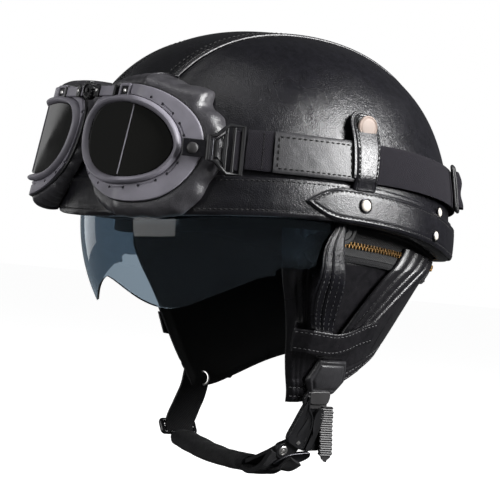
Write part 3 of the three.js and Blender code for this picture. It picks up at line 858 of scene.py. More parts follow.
THREAD_BLACK = woven(
    "thread_black", (0.004, 0.004, 0.004, 1), (0.012, 0.012, 0.012, 1), (3000.0,) * 3, rough=0.6,
    strength=0.4
)
LEATHER_PATCH = leather(
    "leather_patch", dark=(0.022, 0.022, 0.024, 1), light=(0.036, 0.035, 0.038, 1), rough=(0.36, 0.46),
    grain=0.8, coat=0.1
)
for side, word in ((1, "left"), (-1, "right")):
    strap_strip(
        "elastic_front_" + word, rad(-36), rad(-28.6), 20, 3.2, 4.6, STRAP_HALF, ELASTIC, side,
        ("goggle_elastic_front_" + word,)
    )
    strap_strip(
        "leather_patch_" + word, rad(-28.3), rad(-4.7), 60, 3.2, 5.5, STRAP_HALF + 0.3, LEATHER_PATCH, side,
        ("goggle_patch_" + word,), 0.1, 0.7
    )
    inset = 2.8
    rows = []
    for up in (-(STRAP_HALF - inset), STRAP_HALF - inset):
        rows.append(
            surface_row(lambda t, o: strap_point(lerp(rad(-27.1), rad(-5.9), t), up, 5.5 + o, side), 60)
        )
    for th in (rad(-27.1), rad(-5.9)):
        rows.append(
            surface_row(
                lambda t, o: strap_point(th, lerp(-STRAP_HALF + inset, STRAP_HALF - inset, t), 5.5 + o, side),
                20
            )
        )
    stitches("patch_stitching_" + word, rows, THREAD_BLACK, pitch=3.6, length=2.7, radius=0.5)
    rows = [surface_row(lambda t, o: strap_point(rad(-31.4), lerp(-12.4, 12.4, t), 4.6 + o, side), 16)]
    stitches("elastic_stitching_" + word, rows, THREAD_BLACK, pitch=2.4, length=1.8, radius=0.35)
strap_strip(
    "elastic_rear", rad(-4.4), rad(184.4), 260, 3.2, 4.6, STRAP_HALF, ELASTIC, 1, ("goggle_elastic_rear",),
    0.2
)

# Slider: a rounded frame with a middle bar, and the strap's end folded back through it.
SLIDE_FROM, SLIDE_TO = rad(43), rad(49)
SLIDE_MID = (SLIDE_FROM + SLIDE_TO) / 2


def slider_point(along_mm, up, off):
    return strap_point(SLIDE_MID + along_mm / 136.0, up, off)


def rounded_rectangle(half_a, half_b, r, n=8):
    pts = []
    for cx, cy, a0 in (
        (half_a - r, half_b - r, 0), (-half_a + r, half_b - r, 90), (-half_a + r, -half_b + r, 180),
        (half_a - r, -half_b + r, 270)
    ):
        for k in range(n):
            a = rad(a0 + 90 * k / (n - 1))
            pts.append((cx + r * math.cos(a), cy + r * math.sin(a)))
    return pts


tube(
    "slider_frame", [slider_point(a, b, 7.2) for a, b in rounded_rectangle(5.4, 15.0, 2.6)], 1.25, BLACK,
    "goggle_slider", closed=True, nodes=("goggle_slider",), up=Vector((0, 0, 1))
)
tube(
    "slider_bar", [slider_point(0.6, lerp(-14.6, 14.6, k / 8), 7.4) for k in range(9)], 1.15, BLACK,
    "goggle_slider", up=Vector((1, 0, 0))
)


def strap_fold(u, v, w):
    a = lerp(1.0, 11.0, u)
    lift = 8.2 + 2.0 * math.sin(math.pi * u) + 0.7 * math.sin(9 * v + 1)
    thick = 1.5 + 0.7 * math.sin(math.pi * u)
    return slider_point(a, lerp(-12.2, 12.2, v) + 0.5 * math.sin(7 * u), lift - 2.0 + thick * w)


sheet("strap_fold", 14, 24, strap_fold, ELASTIC, "goggle_slider", bevel=0.0)

# ---------------------------------------------------------------- strap loops
LOOP_OFF = [(36.4, 2.3), (38, 2.5), (43.5, 5.7), (48, 6.2), (66, 6.2), (72, 5.2), (80, 4.0), (88, 3.2)]


def loop_width(z):
    return lerp(8.9, 10.6, smooth((z - 42) / 36))


def loop_edge(z):
    """Half-width of the strap loop at a height."""
    return loop_width(z) * math.sqrt(max(1 - clamp((z - 78.5) / 9.4) ** 2, 0.0))


def loop_point(z, across, extra, side):
    off = eased(LOOP_OFF, z)
    y = -3.5 + 3 * smooth((z - 40) / 40) + across
    th = math.asin(y / (HALF_LENGTH + 4))
    return mirrored(dome(th, z, off + extra), side)


LOOP_HINGE = 40.2


def loop_sheet(side, low=LOOP_HINGE, high=87.5):
    def at(u, v, w):
        z = lerp(low, high, 1 - (1 - v) ** 1.35)
        half = max(loop_edge(z), 1.2)
        a = 2 * u - 1
        edge = min((1 - abs(a)) * half, 87.9 - z)
        extra = 0.0
        if w > 0.5:
            extra = 1.5 + 0.75 * smooth(edge / 1.3) - 0.35 * math.exp(-(((edge - 2.0) / 0.6) ** 2))
        return loop_point(z, a * half, extra, side)

    return at


LOOP_CAP = [
    (0.0, 6.5), (0.2, 7.3), (0.8, 7.6), (1.5, 7.55), (1.95, 7.2), (2.05, 6.7), (1.8, 6.3), (1.75, 5.9),
    (2.0, 5.6), (2.1, 4.5), (2.2, 2.4), (2.22, 0.4),
]
for side, word in ((1, "left"), (-1, "right")):
    body = "strap_loop_" + word
    sheet("loop_leather_" + word, 30, 90, loop_sheet(side), LEATHER, body, ("strap_loop_" + word,), bevel=0.0)
    sheet("loop_root_" + word, 30, 10, loop_sheet(side, 36.6, LOOP_HINGE), LEATHER, bevel=0.0)

    # the lower layer of the doubled strap shows along the front edge and round the top
    def under(u, v, w):
        z = lerp(44, 88.8, 1 - (1 - v) ** 1.35)
        half = loop_width(z) * math.sqrt(max(1 - clamp((z - 79.4) / 9.6) ** 2, 0.015))
        return loop_point(z, lerp(-half - 1.7, half * 0.7, u), lerp(0.1, 1.35, w), side)

    sheet("loop_under_" + word, 16, 60, under, LEATHER, body, bevel=0.3)

    def loop_stitch(t, o):
        # up one side, round the top and down the other
        z0, z1, inset = 41.0, 78.5, 2.1
        r = 10.6 - inset
        leg, arc = z1 - z0, math.pi * r
        d = t * (2 * leg + arc)
        if d < leg:
            return loop_point(z0 + d, inset - loop_width(z0 + d), 2.2 + o, side)
        if d < leg + arc:
            a = math.pi - (d - leg) / r
            return loop_point(z1 + r * math.sin(a), r * math.cos(a), 2.2 + o, side)
        z = z1 - (d - leg - arc)
        return loop_point(z, loop_width(z) - inset, 2.2 + o, side)

    stitches(
        "loop_stitching_" + word, [surface_row(loop_stitch, 120)], THREAD_BLACK, body, pitch=3.0, length=2.2,
        radius=0.36
    )
    top = loop_point(78.3, 0, 2.25, side)
    out = (loop_point(78.3, 0, 3.25, side) - top).normalized()
    turned(
        "loop_cap_" + word, top - out * 0.15, out, LOOP_CAP, BRONZE, body, ("loop_snap_" + word,), sides=56
    )

# ---------------------------------------------------------------- goggles
RIDGE = Vector((54.6, -145.5, 53.5))
NOSE_TURN, OUTER_TURN, LEAN, SOFT = rad(3), rad(45), 0.172, 5.0


def bend_table():
    out, step = {}, 0.25
    x, y, n = -80 * math.cos(NOSE_TURN), -80 * math.sin(NOSE_TURN), int(160 / step)
    for k in range(n + 1):
        p = -80 + k * step
        a = lerp(NOSE_TURN, OUTER_TURN, smooth((p + SOFT) / (2 * SOFT)))
        out[k] = (x, y, a)
        x += step * math.cos(a)
        y += step * math.sin(a)
    return out


BEND = bend_table()


def bent(p):
    f = clamp((p + 80) / 160) * (len(BEND) - 1)
    k = min(int(f), len(BEND) - 2)
    t = f - k
    a, b = BEND[k], BEND[k + 1]
    return lerp(a[0], b[0], t), lerp(a[1], b[1], t), lerp(a[2], b[2], t)


def eye(p, q, depth, side):
    x, y, a = bent(p)
    return Vector(
        (
            side * (RIDGE.x + x + depth * math.sin(a)), RIDGE.y + y - depth * math.cos(a) + LEAN * q,
            RIDGE.z + q * 0.985
        )
    )


def flat_eye(p, q, depth, side):
    """The same without the rounded ridge, for the flat panes."""
    a = NOSE_TURN if p < 0 else OUTER_TURN
    t = NOSE_TURN if p < -1 else OUTER_TURN if p > 1 else (NOSE_TURN + OUTER_TURN) / 2
    return Vector(
        (
            side * (RIDGE.x + p * math.cos(a) + depth * math.sin(t)),
            RIDGE.y + p * math.sin(a) - depth * math.cos(t) + LEAN * q, RIDGE.z + q * 0.985
        )
    )


EYE_CENTRE = (-6.0, 0.0)
LENS = [
    (31, -3), (25, 10), (13, 19.5), (-2, 24.5), (-20, 25.5), (-36, 22), (-43, 13), (-42, 0), (-36, -11),
    (-22, -20.5), (6, -23.5), (24, -16.5)
]
RIM = [
    (50, -3), (45, 13), (33, 25), (16, 33.5), (0, 37), (-20, 37.5), (-37, 34), (-48, 22), (-49, 6),
    (-43, -13), (-31, -26), (-13, -35.5), (9, -39.5), (29, -35), (43, -22),
]


def curve_point(p, share):
    """Point between p[1] and p[2] on the centripetal curve through four points."""
    t = [0.0]
    for a, b in zip(p, p[1:]):
        t.append(t[-1] + max((b - a).length, 1e-4) ** 0.5)
    u = lerp(t[1], t[2], share)
    a1 = p[0] * ((t[1] - u) / (t[1] - t[0])) + p[1] * ((u - t[0]) / (t[1] - t[0]))
    a2 = p[1] * ((t[2] - u) / (t[2] - t[1])) + p[2] * ((u - t[1]) / (t[2] - t[1]))
    a3 = p[2] * ((t[3] - u) / (t[3] - t[2])) + p[3] * ((u - t[2]) / (t[3] - t[2]))
    b1 = a1 * ((t[2] - u) / (t[2] - t[0])) + a2 * ((u - t[0]) / (t[2] - t[0]))
    b2 = a2 * ((t[3] - u) / (t[3] - t[1])) + a3 * ((u - t[1]) / (t[3] - t[1]))
    return b1 * ((t[2] - u) / (t[2] - t[1])) + b2 * ((u - t[1]) / (t[2] - t[1]))


def catmull(points, n):
    """Closed curve through (x, y) points, n steps for each span."""
    out, m = [], len(points)
    for i in range(m):
        p = [Vector((*points[(i + k) % m], 0)) for k in (-1, 0, 1, 2)]
        curve = [curve_point(p, k / n) for k in range(n)]
        out += [(c.x, c.y) for c in curve]
    return out


def outline(points, grow=0.0):
    """Radius of a closed outline about the eyepiece's centre, as a function of angle."""
    polar = sorted(
        (
            math.atan2(y - EYE_CENTRE[1], x - EYE_CENTRE[0]) % TAU,
            math.hypot(x - EYE_CENTRE[0], y - EYE_CENTRE[1])
        ) for x,
        y in catmull(points, 24)
    )
    steps = 720
    radii = []
    k = 0
    for i in range(steps):
        a = TAU * i / steps
        while k < len(polar) and polar[k][0] < a:
            k += 1
        (a0, r0), (a1, r1) = polar[k - 1], polar[k % len(polar)]
        span = (a1 - a0) % TAU
        radii.append(lerp(r0, r1, ((a - a0) % TAU) / span if span else 0))

    def at(angle):
        f = (angle % TAU) / TAU * steps
        i = int(f) % steps
        r = lerp(radii[i], radii[(i + 1) % steps], f - int(f)) + grow
        return EYE_CENTRE[0] + r * math.cos(angle), EYE_CENTRE[1] + r * math.sin(angle)

    return at


lens_out, bezel_in, bezel_out = outline(LENS, -0.4), outline(LENS), outline(LENS, 5.0)
rim_in, rim_out = outline(LENS, 5.2), outline(RIM)
rim_under = outline(RIM, -3.0)

BEZEL = [
    (0, -3), (0, 0.4), (0.5, 1.4), (0.9, 2.6), (1.6, 3.5), (2.6, 4.0), (3.5, 3.7), (4.3, 2.8), (4.8, 1.6),
    (5.0, 0.3), (5.05, -3)
]
PLATE = [
    (0, -2.9), (0, -0.5), (0.03, -0.1), (0.07, 0.0), (0.3, 0.0), (0.6, 0.0), (0.9, 0.0), (0.955, -0.12),
    (0.985, -0.5), (1.0, -1.2), (0.99, -2.9)
]


def eye_ring(name, n, profile, inner, outer, span, side, material, nodes):
    def at(th, a, b):
        i, o = inner(th), outer(th)
        t = a / span
        return eye(lerp(i[0], o[0], t), lerp(i[1], o[1], t), b, side)

    return loop_solid(name, n, profile, at, material, nodes=nodes)


def joined_mesh(parts):
    """One scratch object from (verts, faces) lists, used as a cutter."""
    verts, faces = [], []
    for v, f in parts:
        faces += [tuple(i + len(verts) for i in q) for q in f]
        verts += v
    me = bpy.data.meshes.new("cutter")
    me.from_pydata([tuple(v * 0.001) for v in verts], [], faces)
    ob = bpy.data.objects.new("cutter", me)
    scene.collection.objects.link(ob)
    return ob


def pipe(points, radius, sides=8, up=Vector((0, 0, 1))):
    """Plain closed tube as (verts, faces)."""
    verts, faces, n = [], [], len(points)
    for i, p in enumerate(points):
        t = frame_at(points, i)
        x = t.cross(up)
        if x.length < 1e-4:
            x = t.cross(Vector((0, 1, 0)))
        x.normalize()
        y = x.cross(t).normalized()
        verts += [
            p + (x * math.cos(TAU * k / sides) + y * math.sin(TAU * k / sides)) * radius
            for k in range(sides)
        ]
    for i in range(n - 1):
        for k in range(sides):
            a, b = i * sides + k, i * sides + (k + 1) % sides
            faces.append((a, b, b + sides, a + sides))
    faces += [tuple(reversed(range(sides))), tuple((n - 1) * sides + k for k in range(sides))]
    return verts, outward(verts, faces)


def cut_with(ob, cutter):
    m = ob.modifiers.new("cut", "BOOLEAN")
    m.operation = "DIFFERENCE"
    m.solver = "EXACT"
    m.use_self = True
    m.object = cutter
    dg = bpy.context.evaluated_depsgraph_get()
    me = bpy.data.meshes.new_from_object(ob.evaluated_get(dg))
    ob.modifiers.clear()
    old = ob.data
    ob.data = me
    bpy.data.meshes.remove(old)
    bpy.data.objects.remove(cutter)
    me.set_sharp_from_angle(angle=rad(35))


# Vents of the frame, as angles in degrees round the eyepiece: single holes and pairs joined by a slot.
VENTS = [
    (63, 63), (47.5, 32), (20, 8), (-16, -28), (-38.5, -54.5), (-70, -90.5), (-116, -116), (-140, -156),
    (170, 156)
]
vent_line = outline(LENS, 7.4)


def cut_vents(ob, side):
    parts = []
    for a, b in VENTS:
        for d in {a, b}:
            p, q = vent_line(rad(d))
            parts.append(pipe([eye(p, q, 1.0, side), eye(p, q, -1.6, side)], 0.95, 10))
        if a != b:
            n = 10
            ring = [vent_line(rad(lerp(a, b, k / n))) for k in range(n + 1)]
            parts.append(pipe([eye(p, q, 0.12, side) for p, q in ring], 0.72, 8))
    cut_with(ob, joined_mesh(parts))


def pane(name, inner, side, material, nodes):
    """Flat half of a lens: trimmed to the outline, meeting its neighbour at the ridge."""
    edge = [lens_out(TAU * k / 720) for k in range(720)]
    reach = min(e[0] for e in edge) if inner else max(e[0] for e in edge)
    ridge = -0.35 if inner else 0.35

    def limit(p, top):
        best = min((e for e in edge if (e[1] > EYE_CENTRE[1]) == top), key=lambda e: abs(e[0] - p))
        return best[1]

    n = 48

    def at(u, v, w):
        p = lerp(ridge, reach, math.sin(u * math.pi / 2) * 0.999)
        return flat_eye(p, lerp(limit(p, False), limit(p, True), v), lerp(-0.9, 0.9, w), side)

    return sheet(name, n, 16, at, material, nodes=nodes, bevel=0.0)


LENS_GLASS, lnt, lens_bsdf = clear("lens_tint", (0.012, 0.012, 0.011, 1), 0.03)
lens_bsdf.inputs["Specular IOR Level"].default_value = 0.4
smear = node(lnt, "ShaderNodeTexNoise", Scale=35.0, Detail=3.0)
lnt.links.new(coords(lnt), smear.inputs["Vector"])
lnt.links.new(ramp(lnt, smear.outputs["Fac"], [(0.4, 0.02), (0.75, 0.06)]), lens_bsdf.inputs["Roughness"])

for side, word in ((1, "left"), (-1, "right")):
    plate = eye_ring(
        "eyepiece_plate_" + word, 200, PLATE, rim_in, rim_out, 1.0, side, FRAME, ("goggle_frame_" + word,)
    )
    cut_vents(plate, side)
    eye_ring(
        "eyepiece_bezel_" + word, 200, BEZEL, bezel_in, bezel_out, 5.0, side, FRAME,
        ("goggle_bezel_" + word,)
    )
    pane("lens_nose_" + word, True, side, LENS_GLASS, ("goggle_lens_nose_" + word,))
    pane("lens_outer_" + word, False, side, LENS_GLASS, ("goggle_lens_outer_" + word,))
    joint = [flat_eye(0, q, 1.05, side) for q in (-22.6, -10, 0, 10, 23.6)]
    tube("lens_joint_" + word, joint, 0.36, FRAME, sides=8, up=Vector((0, 1, 0)))
    groove = [rim_out(TAU * k / 160) for k in range(160)]
    tube(
        "eyepiece_gasket_" + word, [eye(p, q, -2.9, side) for p, q in groove], 1.0, BLACK, closed=True,
        sides=8, up=Vector((0, -1, 0))
    )


# ---- padded skirt: it swells out round the frame, then turns back to the leather
SWELL = [
    (0, 11), (12, 11.5), (19, 12), (26, 9.5), (31, 10), (37, 14.5), (42, 14), (49, 10), (62, 9), (90, 8.5),
    (125, 7.5), (150, 5), (175, 3), (205, 3),
    (225, 6), (245, 9), (265, 11), (290, 11.5), (312, 14), (326, 15), (340, 12), (350, 11.5), (360, 11),
]


def skirt(side):
    def at(th, a, b):
        deg = math.degrees(th) % 360
        f = rim_under(th)
        c, d = math.cos(th), math.sin(th)
        grow = (
            3.0 + along(SWELL, deg) * (1.0 if side > 0 else 0.62) + 0.5 * math.sin(9 * th + 1.3)
            + 0.3 * math.sin(23 * th)
        )
        knots = [
            eye(f[0], f[1], -3.2, 1),
            eye(f[0] + c * grow * 0.75, f[1] + d * grow * 0.75, -0.5, 1),
            eye(f[0] + c * grow * 1.2, f[1] + d * grow * 1.2, -9, 1),
        ]
        h = eye(f[0] + c * (grow + 1), f[1] + d * (grow + 1), -16, 1)
        knots.append(
            dome(math.atan2(h.y / HALF_LENGTH, h.x / HALF_WIDTH), max(h.z, brim_z(rad(-70)) + 1), 3.2)
        )
        m = 1 - a
        p = knots[0] * m**3 + knots[1] * (3 * m * m * a) + knots[2] * (3 * m * a * a) + knots[3] * a**3
        wide = Vector((c * 0.8, -0.4, d)).normalized()
        # gathers run out from the frame and deepen towards the edge
        gather = (
            0.5 * math.sin(31 * th + 2 * math.sin(3 * th)) + 0.8 * math.exp(-(((deg - 39) / 3) ** 2))
            - 0.6 * math.exp(-(((deg - 29) / 3) ** 2)) + 0.6 * math.exp(-(((deg - 320) / 4) ** 2))
        )
        p += wide * gather * smooth((a - 0.3) / 0.3) * smooth((1.05 - a) / 0.2)
        skin = dome(math.atan2(p.y / HALF_LENGTH, p.x / HALF_WIDTH), max(p.z, 0), 3.2)
        if math.hypot(p.x, p.y) < math.hypot(skin.x, skin.y):
            p = skin
        p = p - wide * (1 - b) * 1.6 * min(1, 3 * a + 0.3)
        p += wide * 0.2 * noise.noise(p * 0.12)
        p.x = max(p.x, 0.6 + (1 - b) * 0.2) * side
        return p

    n = 18
    outer = [(k / n, 1.0) for k in range(n + 1)]
    inner = [(k / n, 0.0) for k in range(n, -1, -1)]
    return outer + inner, at


for side, word in ((1, "left"), (-1, "right")):
    profile, at = skirt(side)
    # The skirt's leather carries painted sheen in its base colour.
    ob = loop_solid("face_skirt_" + word, 260, profile, at, LEATHER_PAINTED_SHEEN, nodes=("goggle_face_pad_" + word,))


# ---- nose bridge: bar, brackets, pins and a knurled knob
def slab(name, corners, material, body="helmet", nodes=(), bevel=0.5, nu=1, nv=1):
    """Box from its lowest and highest corner, with eased edges."""
    lo, hi = corners
    return sheet(
        name, nu, nv,
        lambda u, v, w: Vector((lerp(lo[0], hi[0], u), lerp(lo[1], hi[1], 1 - w), lerp(lo[2], hi[2], v))),
        material, body, nodes, bevel
    )


KNOB = Vector((0, -141.1, 86.3))
slab("bridge_bar", ((-12.4, -140.6, 83.2), (12.4, -138.0, 89.5)), BLACK, nodes=("goggle_bridge",), bevel=0.7)


def on_plate(p0, p1, q0, q1, d0, d1, side):
    """Flat piece lying on an eyepiece's plate."""
    return lambda u, v, w: eye(lerp(p0, p1, u), lerp(q0, q1, v), lerp(d0, d1, w), side)


for side, word in ((1, "left"), (-1, "right")):
    sheet("bridge_link_" + word, 14, 2, on_plate(-47, -22.5, 29.6, 36.2, 0.25, 2.3, side), FRAME, bevel=0.5)
    sheet("bridge_step_" + word, 4, 2, on_plate(-45.5, -40.5, 28.8, 37.2, -2.6, 3.6, side), BLACK, bevel=0.6)
    sheet("bridge_end_" + word, 4, 2, on_plate(-24.4, -22.0, 29.0, 36.8, 0.2, 3.1, side), BLACK, bevel=0.5)
    seat = [eye(-14.2 + p, 33.0 + q, 0.7, side) for p, q in rounded_rectangle(4.9, 3.9, 0.8, 4)]
    tube("bridge_seat_" + word, seat, 1.05, FRAME, closed=True, sides=8, up=Vector((0, -1, 0)))
    sheet(
        "bridge_seat_floor_" + word, 4, 4, on_plate(-18.4, -10.0, 29.8, 36.2, 0.05, 0.35, side), BLACK,
        bevel=0.0
    )
    a = eye(-14.2, 33.0, 0.3, side)
    turned(
        "bridge_seat_pin_" + word, a, (eye(-14.2, 33.0, 1.3, side) - a),
        [(0, 1.6), (0.8, 1.5), (1.2, 1.0), (1.3, 0.1)], STEEL, sides=16
    )
    a = eye(-43, 33.0, 3.5, side)
    turned(
        "bridge_pin_" + word, a, (eye(-43, 33.0, 4.5, side) - a),
        [(0, 1.3), (0.35, 1.2), (0.6, 0.8), (0.65, 0.1)], STEEL, sides=16
    )


def knob_side():
    n, verts, faces = 144, [], []
    rows = [
        (0.0, 4.6), (0.5, 5.9), (0.9, 6.2), (3.9, 6.2), (4.6, 5.9), (5.0, 5.0), (5.0, 4.0), (4.2, 3.7),
        (4.2, 1.6), (5.2, 1.5), (5.4, 0.02)
    ]
    for d, r in rows:
        for k in range(n):
            a = TAU * k / n
            notch = 0.85 * clamp(0.5 + 1.4 * math.cos(16 * a)) if r > 5.5 else 0.0
            verts.append(KNOB + Vector(((r - notch) * math.cos(a), -d, (r - notch) * math.sin(a))))
    for j in range(len(rows) - 1):
        for k in range(n):
            m = (k + 1) % n
            faces.append((j * n + k, j * n + m, (j + 1) * n + m, (j + 1) * n + k))
    faces.append(tuple(reversed(range(n))))
    faces.append(tuple((len(rows) - 1) * n + k for k in range(n)))
    ob = mesh_object("bridge_screw_knob", verts, outward(verts, faces), BLACK)
    return finish_piece(ob, "bridge_knob", ("bridge_knob",))


knob_side()


# ---- side tabs and strap clips
def clip_point(s, z, out, side):
    a, m, b = Vector((83.4, -121.6, 0)), Vector((93.6, -109, 0)), Vector((99.4, -86.5, 0))
    start, end, t = (a, m, s) if s < 1 else (m, b, s - 1)
    p = start.lerp(end, t)
    d = (end - start).normalized()
    blend_turn = smooth((s - 0.8) / 0.4)
    d0, d1 = (m - a).normalized(), (b - m).normalized()
    d = d0.lerp(d1, blend_turn).normalized()
    return Vector((side * (p.x - d.y * -out), p.y - d.x * out, z))


def frame_path(points, side, out):
    return [clip_point(s, 53 + q, out, side) for s, q in points]


for side, word in ((1, "left"), (-1, "right")):
    fn = lambda u, v, w: clip_point(
        lerp(0.02, 1.1, u), 52 + lerp(-5.6, 5.6, v), lerp(0.6, 2.2, w) + 1.2 * (1 - smooth(u / 0.5)), side
    )
    sheet("tab_strap_" + word, 24, 8, fn, LEATHER, nodes=("goggle_tab_" + word,), bevel=0.4)
    a = clip_point(0.42, 51.8, 2.4, side)
    out = clip_point(0.42, 51.8, 3.4, side) - a
    turned(
        "tab_rivet_" + word, a, out,
        [(0, 3.7), (0.4, 3.7), (0.9, 3.3), (1.35, 2.3), (1.55, 0.9), (1.6, 0.05)], GREY, sides=32
    )
    tube(
        "clip_bar_" + word, [clip_point(1.1, 52 + q, 1.8, side) for q in (-6.6, 0, 6.6)], 1.05, DARK_METAL,
        sides=16, up=Vector((1, 0, 0))
    )
    outer = [
        (1.0, -7.6), (1.0, 7.6), (1.2, 8.0), (1.44, 13.2), (1.56, 15.4), (1.98, 15.4), (1.98, -15.4),
        (1.56, -15.4), (1.44, -13.2), (1.2, -8.0)
    ]
    tube(
        "clip_frame_" + word, frame_path(outer, side, 1.5), 1.35, BLACK, closed=True, sides=8,
        nodes=("goggle_clip_" + word,), up=Vector((1, 0, 0))
    )
    inner = [(1.22, -5.2), (1.22, 5.2), (1.44, 9.6), (1.44, -9.6)]
    tube(
        "clip_window_" + word, frame_path(inner, side, 1.9), 0.95, BLACK, closed=True, sides=8,
        up=Vector((1, 0, 0))
    )
    for k, s in enumerate((1.5, 1.72)):
        half = 14.2
        tube(
            "clip_rib_%d_%s" % (k, word), [clip_point(s, 53 + q, 1.4, side) for q in (-half, 0, half)], 1.1,
            BLACK, sides=12, up=Vector((1, 0, 0))
        )
    fn = lambda u, v, w: clip_point(
        lerp(1.72, 2.06, u), 53 + lerp(-12.6, 12.6, v), lerp(-0.6, 1.6, w) - 0.6 * u, side
    )
    sheet("clip_webbing_" + word, 10, 10, fn, ELASTIC, bevel=0.4)

# ---------------------------------------------------------------- visor
VISOR_LOW = [
    (0, 21.5), (6, 22.5), (17, 26), (33, 32), (49, 35.5), (80, 34), (98, 35), (101, 44), (103.5, 54),
    (106, 56)
]


def visor_radius(x):
    return VISOR_REACH * max(1 - min(abs(x) / (VISOR_HALF + 0.6), 1) ** 2.05, 0) ** 0.5


def visor_point(x, down, off):
    r = visor_radius(x) + off * math.sqrt(visor_radius(x) / VISOR_REACH)
    shift = math.copysign(off * (abs(x) / VISOR_HALF) ** 6, x)
    return Vector((x + shift, VISOR_Y - r * math.cos(rad(down)), VISOR_Z - r * math.sin(rad(down))))


def visor_sheet(u, v, w):
    t = 2 * u - 1
    x = math.copysign(VISOR_HALF * math.sin(abs(t) * math.pi / 2), t)
    low = eased(VISOR_LOW, abs(x)) if abs(x) < 95 else along(VISOR_LOW, abs(x))
    return visor_point(x, lerp(-14, low, v), lerp(-1, 1, w))


SMOKE, _, smoke = clear("smoke_visor", (0.19, 0.245, 0.295, 1), 0.02)
smoke.inputs["Transmission Weight"].default_value = 1.0
smoke.inputs["IOR"].default_value = 1.33
sheet("visor_screen", 220, 36, visor_sheet, SMOKE, "visor", ("visor",), bevel=0.25)
for side, word in ((1, "left"), (-1, "right")):
    base = Vector((side * (VISOR_HALF - 2.4), VISOR_Y, VISOR_Z))
    out = Vector((side, 0, 0))
    turned(
        "visor_boss_" + word, base, out,
        [(-0.2, 9.6), (0.2, 10.2), (2.2, 10.2), (2.7, 9.7), (2.75, 7.5), (2.2, 7.0), (2.2, 3.6)], BLACK,
        "visor", sides=72
    )
    pin = Vector((side * 98.2, VISOR_Y, VISOR_Z))
    turned(
        "visor_screw_" + word, pin, out, [(0, 2.9), (9.0, 2.9), (9.2, 2.8), (9.5, 2.2), (9.6, 0.2)],
        DARK_METAL, nodes=("visor_pivot_" + word,), sides=32
    )

# ---------------------------------------------------------------- ear flaps and neck guard
FLAP_REAR = 40
FLAP_LOW = [(0, -107), (11, -106), (30, -93), (39, -85), (51, -78), (64, -70), (90, -64)]
FLAP_FRONT = [(0, -20), (0.25, -19), (0.5, -14), (0.8, -9), (1, -2)]


def on_flap(ph, z, off, side=1):
    a, b = 101 - 0.42 * max(0, -z - 12), 133 - 0.56 * max(0, -z - 8)
    return Vector((side * (a + off) * math.cos(ph), (b + off) * math.sin(ph), z))


def flap_y(y, z, off, side=1):
    b = 133 - 0.56 * max(0, -z - 8)
    return on_flap(math.asin(max(-1, min(1, y / (b + off)))), z, off, side)


def ear_point(u, v, off, side):
    front = eased(FLAP_FRONT, v)
    deg = lerp(front, FLAP_REAR, u)
    low = eased(FLAP_LOW, lerp(-2, FLAP_REAR, u))
    z = lerp(brim_z(rad(deg)) - 7, low, v)
    return on_flap(rad(deg), z, off, side)


def ear_relief(u, v):
    """Height of the outer leather: piping folds by the front edge, stitched rows by the lower one."""
    front, low = u * 62.0, (1 - v) * 92.0
    h = -2.2 * (1 - smooth(front / 2.4)) - 1.6 * (1 - smooth(low / 2.2))
    for k, at in enumerate((3.2, 6.4, 9.6)):
        h += (0.55 - 0.1 * k) * math.exp(-(((front - at) / 1.15) ** 2))
        h -= 0.35 * math.exp(-(((front - at - 1.6) / 0.5) ** 2))
    for at in (3.4, 8.2, 13.0):
        h -= 0.7 * math.exp(-(((low - at) / 0.75) ** 2))
    h += 0.45 * math.exp(-(((low - 5.8) / 1.8) ** 2)) + 0.4 * math.exp(-(((low - 10.6) / 1.8) ** 2))
    return h


def ear_outer(side):
    def at(u, v, w):
        if w < 0.5:
            return ear_point(u, v, -3.6, side)
        p = ear_point(u, v, 0.0, side)
        soft = 0.5 * noise.noise(p * 0.045) + 0.2 * noise.noise(p * 0.14)
        return ear_point(u, v, -0.35 + ear_relief(u, v) + soft * 0.7, side)

    return at


def ear_inner(side):
    def at(u, v, w):
        if w > 0.5:
            return ear_point(u, v, -3.65, side)
        edge = min(u * 62, (1 - v) * 92, v * 92)
        p = ear_point(u, v, 0.0, side)
        return ear_point(u, v, -4.2 - 2.7 * smooth(edge / 5.0) + 0.25 * noise.noise(p * 0.08), side)

    return at


def guard_point(u, v, off):
    deg = lerp(FLAP_REAR - 0.1, 180 - FLAP_REAR + 0.1, u)
    z = lerp(brim_z(rad(deg)) - 7, eased(FLAP_LOW, deg if deg < 90 else 180 - deg), v)
    return on_flap(rad(deg), z, off)


def guard_outer(u, v, w):
    if w < 0.5:
        return guard_point(u, v, -3.6)
    low, across = (1 - v) * 58.0, u * 190.0
    h = -1.5 * (1 - smooth(low / 2.2))
    for at in (3.4, 8.2):
        h -= 0.6 * math.exp(-(((low - at) / 0.75) ** 2))
    for at in (38.0, 95.0, 152.0):
        h -= 0.8 * math.exp(-(((across - at) / 1.0) ** 2)) * smooth((low - 9) / 3)
    p = guard_point(u, v, 0.0)
    return guard_point(u, v, -0.3 + h + 0.4 * noise.noise(p * 0.05))


def guard_inner(u, v, w):
    if w > 0.5:
        return guard_point(u, v, -3.65)
    edge = min((1 - v) * 58, v * 58)
    return guard_point(u, v, -4.2 - 2.7 * smooth(edge / 5.0))


